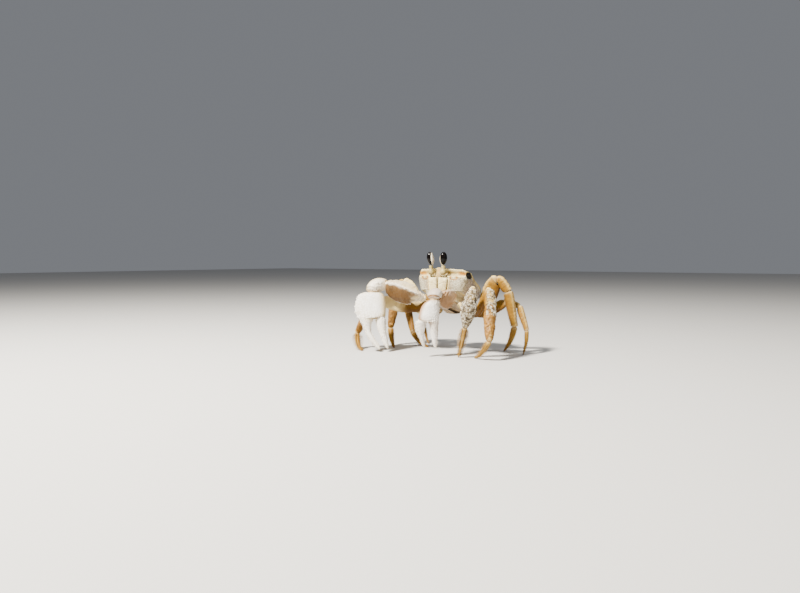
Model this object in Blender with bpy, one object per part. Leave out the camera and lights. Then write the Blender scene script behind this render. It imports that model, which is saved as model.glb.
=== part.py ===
"""A life-size Atlantic ghost crab, standing still on its eight walking legs.

Lengths are worked out in millimetres and turned into metres when a mesh is made.
The crab faces -Y, its left side is +X and the floor is z = 0.  Its body is pitched
nose up about the body centre, and each limb is lofted along one bent path and parted
at its joints by thin gaps.
"""
import math

import bpy
import numpy as np

MM = 0.001
GAP = 0.3

CARAPACE_HALF_WIDTH = 22.2
CARAPACE_FRONT = 19.6
CARAPACE_REAR = -17.5
CORNER_POWER = 8.0
BODY_CENTRE = (2.0, -2.0, 47.0)
NOSE_UP = math.radians(28)
BODY_TURN = math.radians(5)
PART_LINE = -0.45
PLAN_SHIFT = (1.684, 11.340)

LEG_NUMBERS = (2, 3, 4, 5)
# merus, carpus, propodus and dactyl length, then the merus depth and thickness
LEG_SIZES = {
    2: (30.0, 11.5, 20.5, 22.0, 9.6, 4.6),
    3: (31.0, 14.5, 27.0, 21.5, 11.0, 4.8),
    4: (32.5, 14.5, 26.5, 22.0, 11.0, 4.6),
    5: (25.0, 10.5, 19.0, 17.5, 7.2, 3.6),
}
# where each walking leg leaves the body, and where its merus begins: out, forward, up
HIPS = {2: (14.2, 13.0, 36.3), 3: (14.6, 7.8, 33.4), 4: (14.4, 1.8, 31.0), 5: (12.8, -3.0, 29.4)}
LEFT_KNEE_ROOTS = {2: (21.5, 11.5, 29.4), 3: (24.0, 3.5, 26.6), 4: (24.0, -6.2, 27.6), 5: (20.0, -11.5, 25.6)}
RIGHT_KNEE_ROOTS = {2: (22.0, 11.5, 30.2), 3: (24.5, 4.0, 28.0), 4: (24.2, -4.5, 26.8), 5: (19.5, -11.5, 25.6)}
# heading (0 straight out, + forward) and rise of merus, carpus and propodus, then the
# dactyl's heading; a rise past -90 leans back in under the body, as every dactyl does
LEFT_POSES = {
    2: ((52, 37), (69, -36), (25, -108), 10),
    3: ((38, 40), (58, -47), (64, -57), 26),
    4: ((14, 64), (-13, -54), (-46, -79), 20),
    5: ((0, 28), (4, -17), (18, -66), -81),
}
RIGHT_POSES = {
    2: ((31, 14), (33, -43), (21, -62), -40),
    3: ((-9, 55), (28, -63), (15, -81), -45),
    4: ((-22, 36), (-24, -82), (-36, -124), -18),
    5: ((-35, 34), (-40, -49), (-35, -92), -40),
}
# radii of the bends at hip, knee, wrist and ankle, and of the last piece
JOINT_BENDS = (4.6, 3.4, 4.6, 3.4, 30.0)
FOOT_HALF_WIDTH = 0.5
# the last piece of each leg bows away from the straight line by this share of its length
DACTYL_BOW = 0.13
# no part of a leg but its foot flat comes nearer to the floor than this
SOLE_LIFT = 0.15
# limb paths are stepped this finely, evened over this many steps, and their inner sides stay
# within this share of the way to the bend's centre
PATH_STEP = 0.25
EVEN_ROWS = 13
INNER_LIMIT = 0.7
ARM_PULL = 1.2
PALM_TUCK = 2.0

EYE_PLACE = (5.4, 19.4, 59.3)
EYE_TOP = 73.6
EYE_LEANS = {1: 0.2, -1: 1.5}
# the way the strip of eyestalk up each cornea faces
EYE_INNER = {1: (-0.88, 0.47, 0.0), -1: (0.97, 0.26, 0.0)}
CORNEA_RADIUS = 2.65
CORNEA_BOTTOM = 64.2


# ---------------------------------------------------------------- small tools
def unit(v):
    v = np.asarray(v, float)
    return v / np.linalg.norm(v, axis=-1, keepdims=True)


def world(side, place):
    """A point given as out, forward, up, on the left (+1) or right (-1) side."""
    out, forward, up = place
    return np.array((side * out, -forward, up), float)


def heading_vector(side, heading, rise):
    """The direction with this heading and rise, in degrees."""
    h = math.radians(heading)
    r = math.radians(rise)
    return np.array((side * math.cos(r) * math.cos(h), -math.cos(r) * math.sin(h), math.sin(r)))


def body_to_world(x, forward, up):
    """Body coordinates (left, forward, up, before the pitch) carried to the world."""
    c = math.cos(NOSE_UP)
    s = math.sin(NOSE_UP)
    back = up * s - forward * c
    left, rear = turned(x, back)
    z = BODY_CENTRE[2] + forward * s + up * c
    return np.stack(np.broadcast_arrays(BODY_CENTRE[0] + left, BODY_CENTRE[1] + rear, z), axis=-1)


def turned(left, back):
    """A plan offset from the body centre after the body is turned towards its right."""
    c = math.cos(BODY_TURN)
    s = math.sin(BODY_TURN)
    return left * c + back * s, back * c - left * s


def on_body(side, place):
    """A point given as out, forward, up that turns with the body."""
    out, forward, up = place
    left, back = turned(side * out, -forward - BODY_CENTRE[1])
    return np.array((BODY_CENTRE[0] + left, BODY_CENTRE[1] + back, up))


def smooth(t):
    """0 below t = 0, 1 above t = 1, with an S curve between."""
    t = np.clip(t, 0.0, 1.0)
    return t * t * (3.0 - 2.0 * t)


def bump(value, low, high):
    """1 in the middle of low..high, 0 outside it, a raised cosine between."""
    t = np.clip((value - low) / (high - low), 0.0, 1.0)
    return 0.5 - 0.5 * np.cos(2.0 * np.pi * t)


# ---------------------------------------------------------------- materials
def make_material(name, colour, roughness, metallic=0.0):
    material = bpy.data.materials.new(name)
    material.use_nodes = True
    shader = material.node_tree.nodes["Principled BSDF"]
    shader.inputs["Base Color"].default_value = (*colour, 1.0)
    shader.inputs["Roughness"].default_value = roughness
    shader.inputs["Metallic"].default_value = metallic
    material.diffuse_color = (*colour, 1.0)
    return material


COLOURS = {
    "carapace": ((0.62, 0.53, 0.36), 0.55),
    "underside": ((0.42, 0.32, 0.22), 0.6),
    "mouth": ((0.66, 0.58, 0.40), 0.55),
    "claw": ((0.85, 0.80, 0.70), 0.45),
    "leg": ((0.58, 0.37, 0.13), 0.5),
    "stalk": ((0.72, 0.66, 0.48), 0.5),
    "cornea": ((0.01, 0.008, 0.008), 0.08),
}


# ---------------------------------------------------------------- meshes
def add_object(name, points, faces, finish):
    """One closed solid from points in millimetres, with its faces turned outwards."""
    points = np.asarray(points, float) * MM
    points[:, :2] += np.array(PLAN_SHIFT) * MM
    mesh = bpy.data.meshes.new(name)
    mesh.from_pydata(points.tolist(), [], [list(face) for face in faces])
    mesh.update()
    if signed_volume(mesh) < 0.0:
        mesh.flip_normals()
    colour, roughness = COLOURS[finish]
    mesh.materials.append(make_material(name, colour, roughness))
    mesh.shade_smooth()
    thing = bpy.data.objects.new(name, mesh)
    bpy.context.scene.collection.objects.link(thing)
    return thing


def signed_volume(mesh):
    mesh.calc_loop_triangles()
    points = np.array([v.co[:] for v in mesh.vertices])
    corners = np.array([t.vertices[:] for t in mesh.loop_triangles])
    a, b, c = points[corners[:, 0]], points[corners[:, 1]], points[corners[:, 2]]
    return float(np.einsum("ij,ij->i", a, np.cross(b, c)).sum()) / 6.0


def add_loft(name, rings, finish):
    """Joins equal rings into a tube and closes each end with a fan about its middle."""
    rings = np.asarray(rings, float)
    count, sides = rings.shape[:2]
    points = rings.reshape(-1, 3)
    first = rings[0].mean(axis=0)
    last = rings[-1].mean(axis=0)
    points = np.vstack([points, first, last])
    faces = []
    for k in range(count - 1):
        for j in range(sides):
            n = (j + 1) % sides
            faces.append((k * sides + j, k * sides + n, (k + 1) * sides + n, (k + 1) * sides + j))
    top = (count - 1) * sides
    for j in range(sides):
        n = (j + 1) % sides
        faces.append((n, j, count * sides))
        faces.append((top + j, top + n, count * sides + 1))
    return add_object(name, points, faces, finish)


def box_grid(across, along, upward):
    """The surface of the cube -1..1 as a closed grid: its points and its quads."""
    index = {}
    points = []
    faces = []

    def corner(i, j, k):
        key = (i, j, k)
        if key not in index:
            index[key] = len(points)
            points.append((2.0 * i / across - 1.0, 2.0 * j / along - 1.0, 2.0 * k / upward - 1.0))
        return index[key]

    for i in range(across):
        for j in range(along):
            for k in (0, upward):
                quad = (corner(i, j, k), corner(i + 1, j, k), corner(i + 1, j + 1, k), corner(i, j + 1, k))
                faces.append(quad if k else quad[::-1])
    for i in range(across):
        for k in range(upward):
            for j in (0, along):
                quad = (corner(i, j, k), corner(i + 1, j, k), corner(i + 1, j, k + 1), corner(i, j, k + 1))
                faces.append(quad[::-1] if j else quad)
    for j in range(along):
        for k in range(upward):
            for i in (0, across):
                quad = (corner(i, j, k), corner(i, j + 1, k), corner(i, j + 1, k + 1), corner(i, j, k + 1))
                faces.append(quad if i else quad[::-1])
    return np.array(points), faces


# ---------------------------------------------------------------- the body
def half_width(forward):
    """Half the carapace's width: full at the front, drawn in towards the rear margin."""
    t = np.clip((8.0 - forward) / (8.0 - CARAPACE_REAR), 0.0, 1.0)
    return CARAPACE_HALF_WIDTH * (1.0 - 0.15 * t ** 2.2)


def side_profile(c):
    """How wide the body is at height c: full at the rim, rounded over it and below it."""
    rim = 0.72
    above = np.clip((c - rim) / (1.0 - rim), 0.0, 1.0)
    below = np.clip((rim - c) / (1.0 + rim), 0.0, 1.0)
    return 1.0 - 0.05 * above ** 2 - 0.30 * below ** 2.2


def face_line(a, c):
    """How far forward the face stands: margin, orbits, cheeks and the drawn-in chin."""
    drop = np.clip((0.95 - c) / 1.95, 0.0, 1.0)
    front = CARAPACE_FRONT - 8.6 * drop ** 1.35
    front = front + 1.5 * np.exp(-((a / 0.10) ** 2)) * smooth((c - 0.1) / 0.5)
    front = front - 1.0 * bump(np.abs(a), 0.16, 0.98) * smooth((c - 0.5) / 0.4)
    orbit = smooth((np.abs(a) - 0.10) / 0.07) * smooth((0.97 - np.abs(a)) / 0.10)
    front = front - 2.9 * orbit * bump(c, 0.45, 1.0) ** 0.7
    return front - 2.2 * np.abs(a) ** 3


def rear_line(a, c):
    """How far back the body reaches: the rear margin, rounded in below and at its ends."""
    drop = np.clip((1.0 - c) / 2.0, 0.0, 1.0)
    return CARAPACE_REAR - 0.9 * bump(c, 0.0, 1.0) + 6.5 * drop ** 1.8 + 5.0 * np.abs(a) ** 6


def roof(a, b):
    """Height of the carapace's upper face: a low dome with rounded grooves."""
    dome = 5.2 + (4.6 - 3.4 * smooth((b - 0.1) / 0.9)) * (1.0 - np.abs(a) ** 2.6)
    dome = dome - 2.4 * smooth((-b - 0.45) / 0.55) * (1.0 - 0.5 * np.abs(a))
    swell = 2.8 * np.exp(-(((b - 0.5) / 0.35) ** 2)) * np.abs(a) ** 4
    return dome + swell + 0.9 * smooth((b - 0.6) / 0.4) * np.abs(a) ** 2


def floor_line(a):
    """Height of the underside before it is parted into sternum and legs."""
    return -14.6 + 1.6 * np.abs(a) ** 3


def rounded_plan(a, b):
    """Draws the corners of the square -1..1 in towards a superellipse."""
    high = np.maximum(np.abs(a), np.abs(b))
    level = (np.abs(a) ** CORNER_POWER + np.abs(b) ** CORNER_POWER) ** (1.0 / CORNER_POWER)
    share = high / np.maximum(level, 1e-9)
    return a * share, b * share


def hull(a, b, c):
    """Carries the cube's point (a across, b along, c up) onto the body."""
    a, b = rounded_plan(a, b)
    rear = rear_line(a, c)
    front = face_line(a, c)
    forward = rear + (front - rear) * (b + 1.0) / 2.0
    low = floor_line(a)
    up = low + (roof(a, b) - low) * (c + 1.0) / 2.0
    x = a * half_width(forward) * side_profile(c)
    return x, forward, up


def make_carapace():
    points, faces = box_grid(20, 11, 7)
    a, b, c = points.T
    c = PART_LINE + (1.0 - PART_LINE) * (c + 1.0) / 2.0
    add_object("carapace", body_to_world(*hull(a, b, c)), faces, "carapace")


def make_sternum():
    """The plate under the body, narrower than the shell so the legs leave beside it."""
    points, faces = box_grid(8, 8, 3)
    a, b, c = points.T
    low = -1.0
    high = PART_LINE - 2.0 * GAP / 23.0
    c = low + (high - low) * (c + 1.0) / 2.0
    narrow = 0.74 - 0.10 * smooth((b + 0.2) / 1.0)
    x, forward, up = hull(a * narrow, b, c)
    keel = (1.0 - a * a) * (1.0 - 0.6 * b * b) * smooth((-0.6 - c) / 0.4)
    add_object("sternum", body_to_world(x, forward, up - 1.3 * keel), faces, "underside")


def make_maxilliped(side, name):
    """One of the two plates that close the mouth, laid on the face."""
    points, faces = box_grid(4, 2, 8)
    p, q, r = points.T
    a = side * (0.21 + 0.185 * p * np.sqrt(np.clip(1.0 - 0.18 * r * r, 0.0, 1.0)))
    c = -0.28 + 0.60 * r
    c = c + 0.07 * (1.0 - r) * 0.5 * (1.0 - p * p)
    edge = np.maximum(np.abs(p), np.abs(r))
    thick = 0.7 + 1.1 * (1.0 - edge ** 4)
    x, forward, up = hull(a, np.ones_like(a), c)
    forward = forward + 0.45 + thick * (q + 1.0) / 2.0
    add_object(name, body_to_world(x, forward, up), faces, "mouth")


def make_abdomen():
    """The narrow tail flap: down the rear wall, round the edge and forward below."""
    wall = 0.45 + 0.65
    route = [(-16.0, -3.0), (-13.9, -9.5), (-12.0, -14.2), (-8.6, -16.0), (-3.0, -16.4), (3.4, -16.3)]
    route = np.array(route)
    widths = np.array([6.4, 6.2, 5.6, 4.6, 3.4, 1.4])
    ahead = np.gradient(route, axis=0)
    ahead = unit(ahead)
    away = np.stack([-ahead[:, 1], ahead[:, 0]], axis=1)
    away = away * np.sign((away * route).sum(axis=1, keepdims=True))
    turns = np.linspace(0.0, 2.0 * np.pi, 12, endpoint=False)
    rings = []
    for spot, normal, wide in zip(route, away, widths):
        across = wide * np.cos(turns)
        lift = 0.6 * np.sin(turns)
        centre = spot + normal * wall
        rings.append(body_to_world(across, centre[0] + normal[0] * lift, centre[1] + normal[1] * lift))
    add_loft("abdomen", rings, "underside")


# ---------------------------------------------------------------- limbs
def even(table):
    """Each row becomes the mean of the rows about it, with the end rows repeated."""
    half = EVEN_ROWS // 2
    padded = np.pad(table, ((half, half), (0, 0)), mode="edge")
    sums = np.cumsum(np.vstack([np.zeros(table.shape[1]), padded]), axis=0)
    return (sums[EVEN_ROWS:] - sums[:-EVEN_ROWS]) / EVEN_ROWS


def draw_in(offsets, bend):
    """Draws a ring's points in on the inner side of a bend, so that rings never cross."""
    lean = offsets @ bend
    kept = np.where(lean > 0.0, INNER_LIMIT * np.tanh(lean / INNER_LIMIT), lean)
    return offsets - np.outer(lean - kept, bend) / max(float(bend @ bend), 1e-9)


class BentPath:
    """Straight lengths joined by arcs, and a curved tail, which can be asked for any point."""

    def __init__(self, points, radii, tail=()):
        points = np.asarray(points, float)
        steps = unit(np.diff(points, axis=0))
        lengths = np.linalg.norm(np.diff(points, axis=0), axis=1)
        dense = [points[0]]
        middles = []
        for k, radius in enumerate(radii):
            before, after = steps[k], steps[k + 1]
            corner = points[k + 1]
            turn = math.acos(max(-1.0, min(1.0, float(before @ after))))
            half = math.tan(turn / 2.0)
            reach = min(radius * half, 0.62 * lengths[k], 0.62 * lengths[k + 1])
            angle = np.linspace(0.0, turn, 41)[:, None]
            inward = unit(after - before * math.cos(turn))
            bow = before * np.sin(angle) + inward * (1.0 - np.cos(angle))
            middles.append(len(dense) + 20)
            dense.extend(corner - before * reach + bow * reach / half)
        middles.append(len(dense))
        dense.append(points[-1])
        dense.extend(tail)
        dense = np.array(dense)
        far = np.concatenate([[0.0], np.cumsum(np.linalg.norm(np.diff(dense, axis=0), axis=1))])
        self.joints = [far[m] for m in middles]
        self.length = far[-1]
        self.run = np.linspace(0.0, self.length, int(self.length / PATH_STEP))
        self.points = np.stack([np.interp(self.run, far, dense[:, i]) for i in range(3)], axis=1)
        self.slopes = even(unit(np.gradient(self.points, self.run, axis=0)))
        self.bends = np.gradient(self.slopes, self.run, axis=0)

    def at(self, distance):
        """Place, direction and bend (a vector towards the bend's centre, 1 / radius long)."""
        values = []
        for table in (self.points, self.slopes, self.bends):
            values.append(np.array([np.interp(distance, self.run, table[:, i]) for i in range(3)]))
        return values[0], unit(values[1]), values[2]


def oval(sides, squareness=2.3):
    """A superellipse about the origin, starting at its upper side."""
    turns = np.linspace(0.0, 2.0 * np.pi, sides, endpoint=False)
    power = 2.0 / squareness
    up = np.sign(np.cos(turns)) * np.abs(np.cos(turns)) ** power
    out = np.sign(np.sin(turns)) * np.abs(np.sin(turns)) ** power
    return up, out


def three_sided(sides):
    """A rounded triangle about the origin, with one corner at its upper side."""
    turns = np.linspace(0.0, 2.0 * np.pi, sides, endpoint=False)
    return np.cos(turns) + 0.2 * np.cos(2.0 * turns), np.sin(turns) - 0.2 * np.sin(2.0 * turns)


def limb_rings(path, start, end, profile, flat_axis, section, count, trim=(GAP / 2, GAP / 2)):
    """Rings from start to end along the path; profile gives half depth and thickness."""
    share = (1.0 - np.cos(np.linspace(0.0, np.pi, count))) / 2.0
    share = 0.5 * share + 0.5 * np.linspace(0.0, 1.0, count)
    up, out = section
    rings = []
    for k, f in enumerate(share):
        distance = start + (end - start) * f
        place, slope, bend = path.at(distance)
        if k == 0:
            place = place + slope * trim[0]
        if k == count - 1:
            place = place - slope * trim[1]
        side = unit(flat_axis - slope * (flat_axis @ slope))
        rise = np.cross(side, slope)
        depth = np.interp(f, profile[0], profile[1])
        thick = np.interp(f, profile[0], profile[2])
        rings.append(place + draw_in(np.outer(up * depth, rise) + np.outer(out * thick, side), bend))
    return rings


def scaled(profile, depth, thickness):
    spots, depths, thicks = (np.array(row, float) for row in profile)
    return spots, depths * depth / 2.0, thicks * thickness / 2.0


MERUS_PROFILE = (
    (0.00, 0.12, 0.30, 0.42, 0.60, 0.80, 0.92, 1.00),
    (0.46, 0.50, 0.60, 0.96, 1.16, 1.12, 0.90, 0.62),
    (0.84, 0.84, 0.84, 0.96, 1.00, 1.00, 0.98, 0.94),
)
CARPUS_PROFILE = ((0.0, 0.3, 0.7, 1.0), (0.58, 0.66, 0.68, 0.60), (0.94, 1.04, 1.08, 1.00))
PROPODUS_PROFILE = ((0.0, 0.25, 0.6, 1.0), (0.60, 0.66, 0.58, 0.42), (1.00, 1.06, 0.96, 0.78))
# the front two pairs carry a brush of hair on both faces of the propodus, inside its outline
BRUSH_SHARES = {2: (1.85, 2.35, 1.90, 0.80), 3: (1.60, 1.80, 1.60, 1.00)}
BRUSH_CARPUS = {2: (0.94, 1.15, 1.50, 1.80), 3: (1.05, 1.45, 1.65, 1.60)}
DACTYL_PROFILE = ((0.0, 0.2, 0.5, 0.8, 1.0), (0.42, 0.42, 0.34, 0.22, 0.12), (0.78, 0.74, 0.58, 0.40, 0.24))


def make_leg(side, word, number):
    merus, carpus, propodus, dactyl, depth, thickness = LEG_SIZES[number]
    roots = LEFT_KNEE_ROOTS if side > 0 else RIGHT_KNEE_ROOTS
    poses = LEFT_POSES if side > 0 else RIGHT_POSES
    first, second, third, last_heading = poses[number]
    hip = on_body(side, HIPS[number])
    root = world(side, roots[number])
    knee = root + merus * heading_vector(side, *first)
    wrist = knee + carpus * heading_vector(side, *second)
    ankle = wrist + propodus * heading_vector(side, *third)
    lean = math.degrees(math.asin(ankle[2] / dactyl))
    foot = ankle + dactyl * heading_vector(side, last_heading, -180.0 + lean)
    foot[2] = 0.0
    middle = bowed(wrist, ankle, foot)
    path = BentPath([hip, root, knee, wrist, ankle, middle, foot], JOINT_BENDS)
    normal = unit(np.cross(knee - root, foot - knee)) * side
    knee_at, wrist_at, ankle_at = path.joints[1:4]
    name = "leg_%s_%d_" % (word, number)
    sides = 8 if number == 5 else 10
    sections = oval(sides)
    upper = scaled(MERUS_PROFILE, depth, thickness)
    add_loft(name + "merus", limb_rings(path, 0.0, knee_at, upper, normal, sections, 10), "leg")
    widths = BRUSH_CARPUS.get(number, CARPUS_PROFILE[2])
    second_piece = scaled((*CARPUS_PROFILE[:2], widths), depth, thickness)
    add_loft(name + "carpus", limb_rings(path, knee_at, wrist_at, second_piece, normal, sections, 5), "leg")
    shares = BRUSH_SHARES.get(number, PROPODUS_PROFILE[2])
    lower = scaled((*PROPODUS_PROFILE[:2], shares), depth, thickness)
    add_loft(name + "propodus", limb_rings(path, wrist_at, ankle_at, lower, normal, sections, 5), "leg")
    tip = scaled(DACTYL_PROFILE, depth, thickness)
    rings = limb_rings(path, ankle_at, path.length - 2.2, tip, normal, oval(8), 6, (GAP / 2, 0.0))
    for ring in rings:
        ring[:, 2] = np.maximum(ring[:, 2], SOLE_LIFT)
    rings.append(foot_ring(path, foot, normal, oval(8)))
    add_loft(name + "dactyl", rings, "leg")


def bowed(wrist, ankle, foot):
    """The middle of the last piece, bowed towards where the piece before it points."""
    straight = unit(foot - ankle)
    before = unit(ankle - wrist)
    outward = before - straight * (before @ straight)
    return (ankle + foot) / 2.0 + outward * DACTYL_BOW * np.linalg.norm(foot - ankle)


def foot_ring(path, foot, normal, section):
    """The small flat that the tip stands on, level with the floor."""
    slope = path.at(path.length)[1]
    side = unit(np.array((normal[0], normal[1], 0.0)))
    ahead = np.cross(side, np.array((0.0, 0.0, -1.0)))
    stretch = min(1.5, 1.0 / max(0.3, abs(slope[2])))
    up, out = section
    return foot + np.outer(up * FOOT_HALF_WIDTH * stretch, ahead) + np.outer(out * FOOT_HALF_WIDTH, side)


# ---------------------------------------------------------------- claws
ACROSS = unit((0.819, 0.574, 0.0))


def claw_rings(wrist, down, stations, section):
    """Rings across the claw: each station is s, low w, high w, half thickness."""
    up, out = section
    face = unit(np.cross(down, ACROSS))
    rings = []
    for s, low, high, thick in stations:
        centre = wrist + down * s + ACROSS * (low + high) / 2.0
        rings.append(centre + np.outer(up * (high - low) / 2.0, ACROSS) + np.outer(out * thick, face))
    return rings


MAJOR = {
    "side": -1,
    "word": "right",
    "hip": (11.8, 18.6, 39.0),
    "root": (17.0, 25.0, 42.4),
    "elbow": (38.5, 29.5, 48.8),
    "wrist": (44.8, 38.6, 43.8),
    "down": (0.13, -0.19, -0.97),
    "ridge": (0.574, -0.819, 0.26),
    "size": 1.0,
    "palm": ((0.0, -6.4, 6.4, 4.4), (1.4, -9.4, 8.2, 4.8), (5.0, -11.8, 9.6, 5.2), (9.5, -12.7, 10.0, 5.3),
             (13.5, -12.6, 10.1, 5.1), (17.2, -11.4, 9.9, 4.9), (18.2, -11.0, 9.4, 4.8), (18.8, -10.6, 1.6, 4.7),
             (21.5, -8.9, -0.1, 4.3), (24.5, -7.3, -1.0, 3.5), (28.2, -5.7, -1.1, 2.6), (33.0, -3.4, 0.9, 2.1),
             (38.0, 0.2, 4.0, 1.5), (41.4, 3.4, 5.9, 1.0), (42.8, 5.0, 6.4, 0.6)),
    "finger": ((19.1, 3.7, 9.5, 3.6), (20.6, 2.8, 10.2, 3.6), (24.5, 3.5, 10.1, 3.1), (28.2, 4.8, 10.3, 2.6),
               (33.0, 6.5, 11.0, 2.1), (37.5, 8.4, 11.8, 1.5), (41.0, 10.4, 12.2, 1.0), (42.4, 11.4, 12.2, 0.6)),
}
MINOR = {
    "side": 1,
    "word": "left",
    "hip": (11.8, 18.6, 39.0),
    "root": (14.4, 22.4, 37.8),
    "elbow": (12.4, 36.0, 43.6),
    "wrist": (13.4, 44.6, 41.0),
    "down": (0.0, 0.02, -1.0),
    "ridge": (0.819, 0.574, 0.35),
    "size": 0.78,
    "palm": ((0.0, -3.4, 3.4, 3.0), (1.4, -5.4, 3.9, 3.5), (4.8, -8.4, 3.6, 3.8), (9.6, -10.2, 3.3, 3.8),
             (13.6, -11.0, 3.2, 3.4), (14.1, -10.6, 3.1, 3.3), (14.5, -5.0, 3.1, 3.2), (18.0, -3.0, 2.8, 2.6),
             (24.0, -2.2, 2.4, 1.8), (30.0, -0.9, 2.0, 1.3), (34.6, 0.5, 1.6, 0.55)),
    "finger": ((14.8, -11.2, -5.6, 2.6), (16.0, -12.9, -5.4, 2.6), (19.0, -12.9, -6.2, 2.2), (24.5, -11.4, -7.4, 1.8),
               (30.0, -9.2, -6.8, 1.3), (34.0, -7.5, -6.4, 0.55)),
}
CLAW_MERUS_PROFILE = (
    (0.00, 0.10, 0.24, 0.42, 0.66, 0.86, 1.00),
    (3.20, 3.60, 5.80, 8.60, 9.20, 7.60, 4.40),
    (2.80, 3.20, 5.20, 7.40, 7.80, 6.60, 4.40),
)
CLAW_CARPUS_PROFILE = ((0.0, 0.25, 0.55, 0.8, 1.0), (4.0, 5.0, 5.4, 5.2, 4.6), (4.2, 5.6, 6.4, 6.1, 5.0))


def turning_curve(start, leaving, end, arriving):
    """Points after start on the cubic that leaves and arrives in the given directions."""
    t = np.linspace(0.0, 1.0, 40)[1:, None]
    pull = ARM_PULL * np.linalg.norm(end - start)
    ends = start * (1 + 2 * t) * (1 - t) ** 2 + end * t * t * (3 - 2 * t)
    return ends + pull * (leaving * t * (1 - t) ** 2 - arriving * t * t * (1 - t))


def make_cheliped(claw):
    side, word, size = claw["side"], claw["word"], claw["size"]
    down = unit(np.array(claw["down"]))
    hip = on_body(side, claw["hip"])
    root, elbow, wrist = (world(side, claw[key]) for key in ("root", "elbow", "wrist"))
    outward = unit(elbow - root)
    arm = turning_curve(elbow, outward, wrist, down)
    path = BentPath([hip, root, elbow], [4.6], [*arm, wrist + down * PALM_TUCK])
    name = "claw_%s_" % word
    normal = unit(np.cross(outward, np.array(claw["ridge"])))
    elbow_at = path.joints[1]

    def sized(profile):
        return profile[0], [v * size for v in profile[1]], [v * size for v in profile[2]]

    rings = limb_rings(path, 0.0, elbow_at, sized(CLAW_MERUS_PROFILE), normal, three_sided(14), 10)
    add_loft(name + "merus", rings, "claw")
    hinge = unit(np.cross(outward, down))
    wrist_at = path.length - PALM_TUCK
    rings = limb_rings(path, elbow_at, wrist_at, sized(CLAW_CARPUS_PROFILE), hinge, oval(14, 2.1), 8)
    add_loft(name + "carpus", rings, "claw")
    start = wrist + down * 1.5 * GAP
    add_loft(name + "palm", claw_rings(start, down, claw["palm"], oval(14, 2.3)), "claw")
    add_loft(name + "finger", claw_rings(start, down, claw["finger"], oval(12, 2.2)), "claw")


# ---------------------------------------------------------------- eyes
def make_eye(side, word):
    """A knob, a neck and a strip up the inner side, and the dark cornea parted from it."""
    out, forward, up = EYE_PLACE
    base = on_body(side, (out, forward, up))
    inner = unit(np.array(EYE_INNER[side]))
    ahead = np.array((-inner[1], inner[0], 0.0))

    def axis_point(height):
        lean = side * EYE_LEANS[side] * max(0.0, (height - base[2]) / (EYE_TOP - base[2]))
        return np.array((base[0] + lean, base[1], height))

    heights = np.array((-2.5, -1.9, -0.6, 0.8, 2.0, 3.0, 3.9))
    radii = np.array((0.7, 1.75, 2.5, 2.4, 1.75, 1.35, 1.35))
    turns = np.linspace(0.0, 2.0 * np.pi, 12, endpoint=False)
    rings = []
    for height, radius in zip(heights, radii):
        spot = axis_point(base[2] + height)
        rings.append(spot + np.outer(radius * np.cos(turns), inner) + np.outer(radius * np.sin(turns), ahead))
    spread = math.radians(62)
    arc = np.linspace(-spread, spread, 7)
    tall = EYE_TOP - CORNEA_BOTTOM
    cut = CORNEA_RADIUS * math.cos(spread)
    levels = np.array((0.02, 0.12, 0.30, 0.50, 0.70, 0.86, 0.95))
    strip = []
    for level in levels:
        radius = CORNEA_RADIUS * ovoid(level)
        spot = axis_point(CORNEA_BOTTOM + tall * level)
        reach = np.maximum(radius, cut + 0.55)
        half = reach * math.sin(spread) * min(1.0, radius / cut * 0.8)
        across = half * np.sin(arc) / math.sin(spread)
        depth = cut + 0.15 + (reach - cut - 0.15) * np.cos(arc * 90.0 / 62.0)
        front = spot + np.outer(depth, inner) + np.outer(across, ahead)
        back_across = across[::-1][1:-1]
        back = spot + np.outer(np.full(5, cut + 0.15), inner) + np.outer(back_across, ahead)
        strip.append(np.vstack([front, back]))
    neck = rings[-1]
    add_loft("eyestalk_" + word, rings + [match(neck, ring) for ring in strip], "stalk")
    levels = (0.01, 0.06, 0.16, 0.32, 0.50, 0.68, 0.84, 0.94, 0.99)
    rings = []
    for level in levels:
        radius = CORNEA_RADIUS * ovoid(level)
        spot = axis_point(CORNEA_BOTTOM + GAP + tall * level)
        inward = np.minimum(radius * np.cos(turns), cut - 0.15)
        rings.append(spot + np.outer(inward, inner) + np.outer(radius * np.sin(turns), ahead))
    add_loft("cornea_" + word, rings, "cornea")


def match(ring, other):
    """Turns one ring's numbering so that its points face the nearest ones of the other."""
    mine = other - other.mean(axis=0)
    theirs = ring - ring.mean(axis=0)
    best = min(range(len(other)), key=lambda k: float(np.square(np.roll(mine, k, axis=0) - theirs).sum()))
    return np.roll(other, best, axis=0)


def ovoid(level):
    """Radius share of the cornea's egg at this share of its height, fuller near the top."""
    return math.sqrt(max(0.0, 1.0 - (2.0 * level - 1.0) ** 2)) * (0.93 + 0.12 * level)


# ---------------------------------------------------------------- everything
def clear_scene():
    for thing in list(bpy.data.objects):
        bpy.data.objects.remove(thing, do_unlink=True)


def main():
    clear_scene()
    make_carapace()
    make_sternum()
    make_abdomen()
    for side, word in ((1, "left"), (-1, "right")):
        make_maxilliped(side, "maxilliped_" + word)
        make_eye(side, word)
        for number in LEG_NUMBERS:
            make_leg(side, word, number)
    make_cheliped(MAJOR)
    make_cheliped(MINOR)


main()
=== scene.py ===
import math

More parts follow.
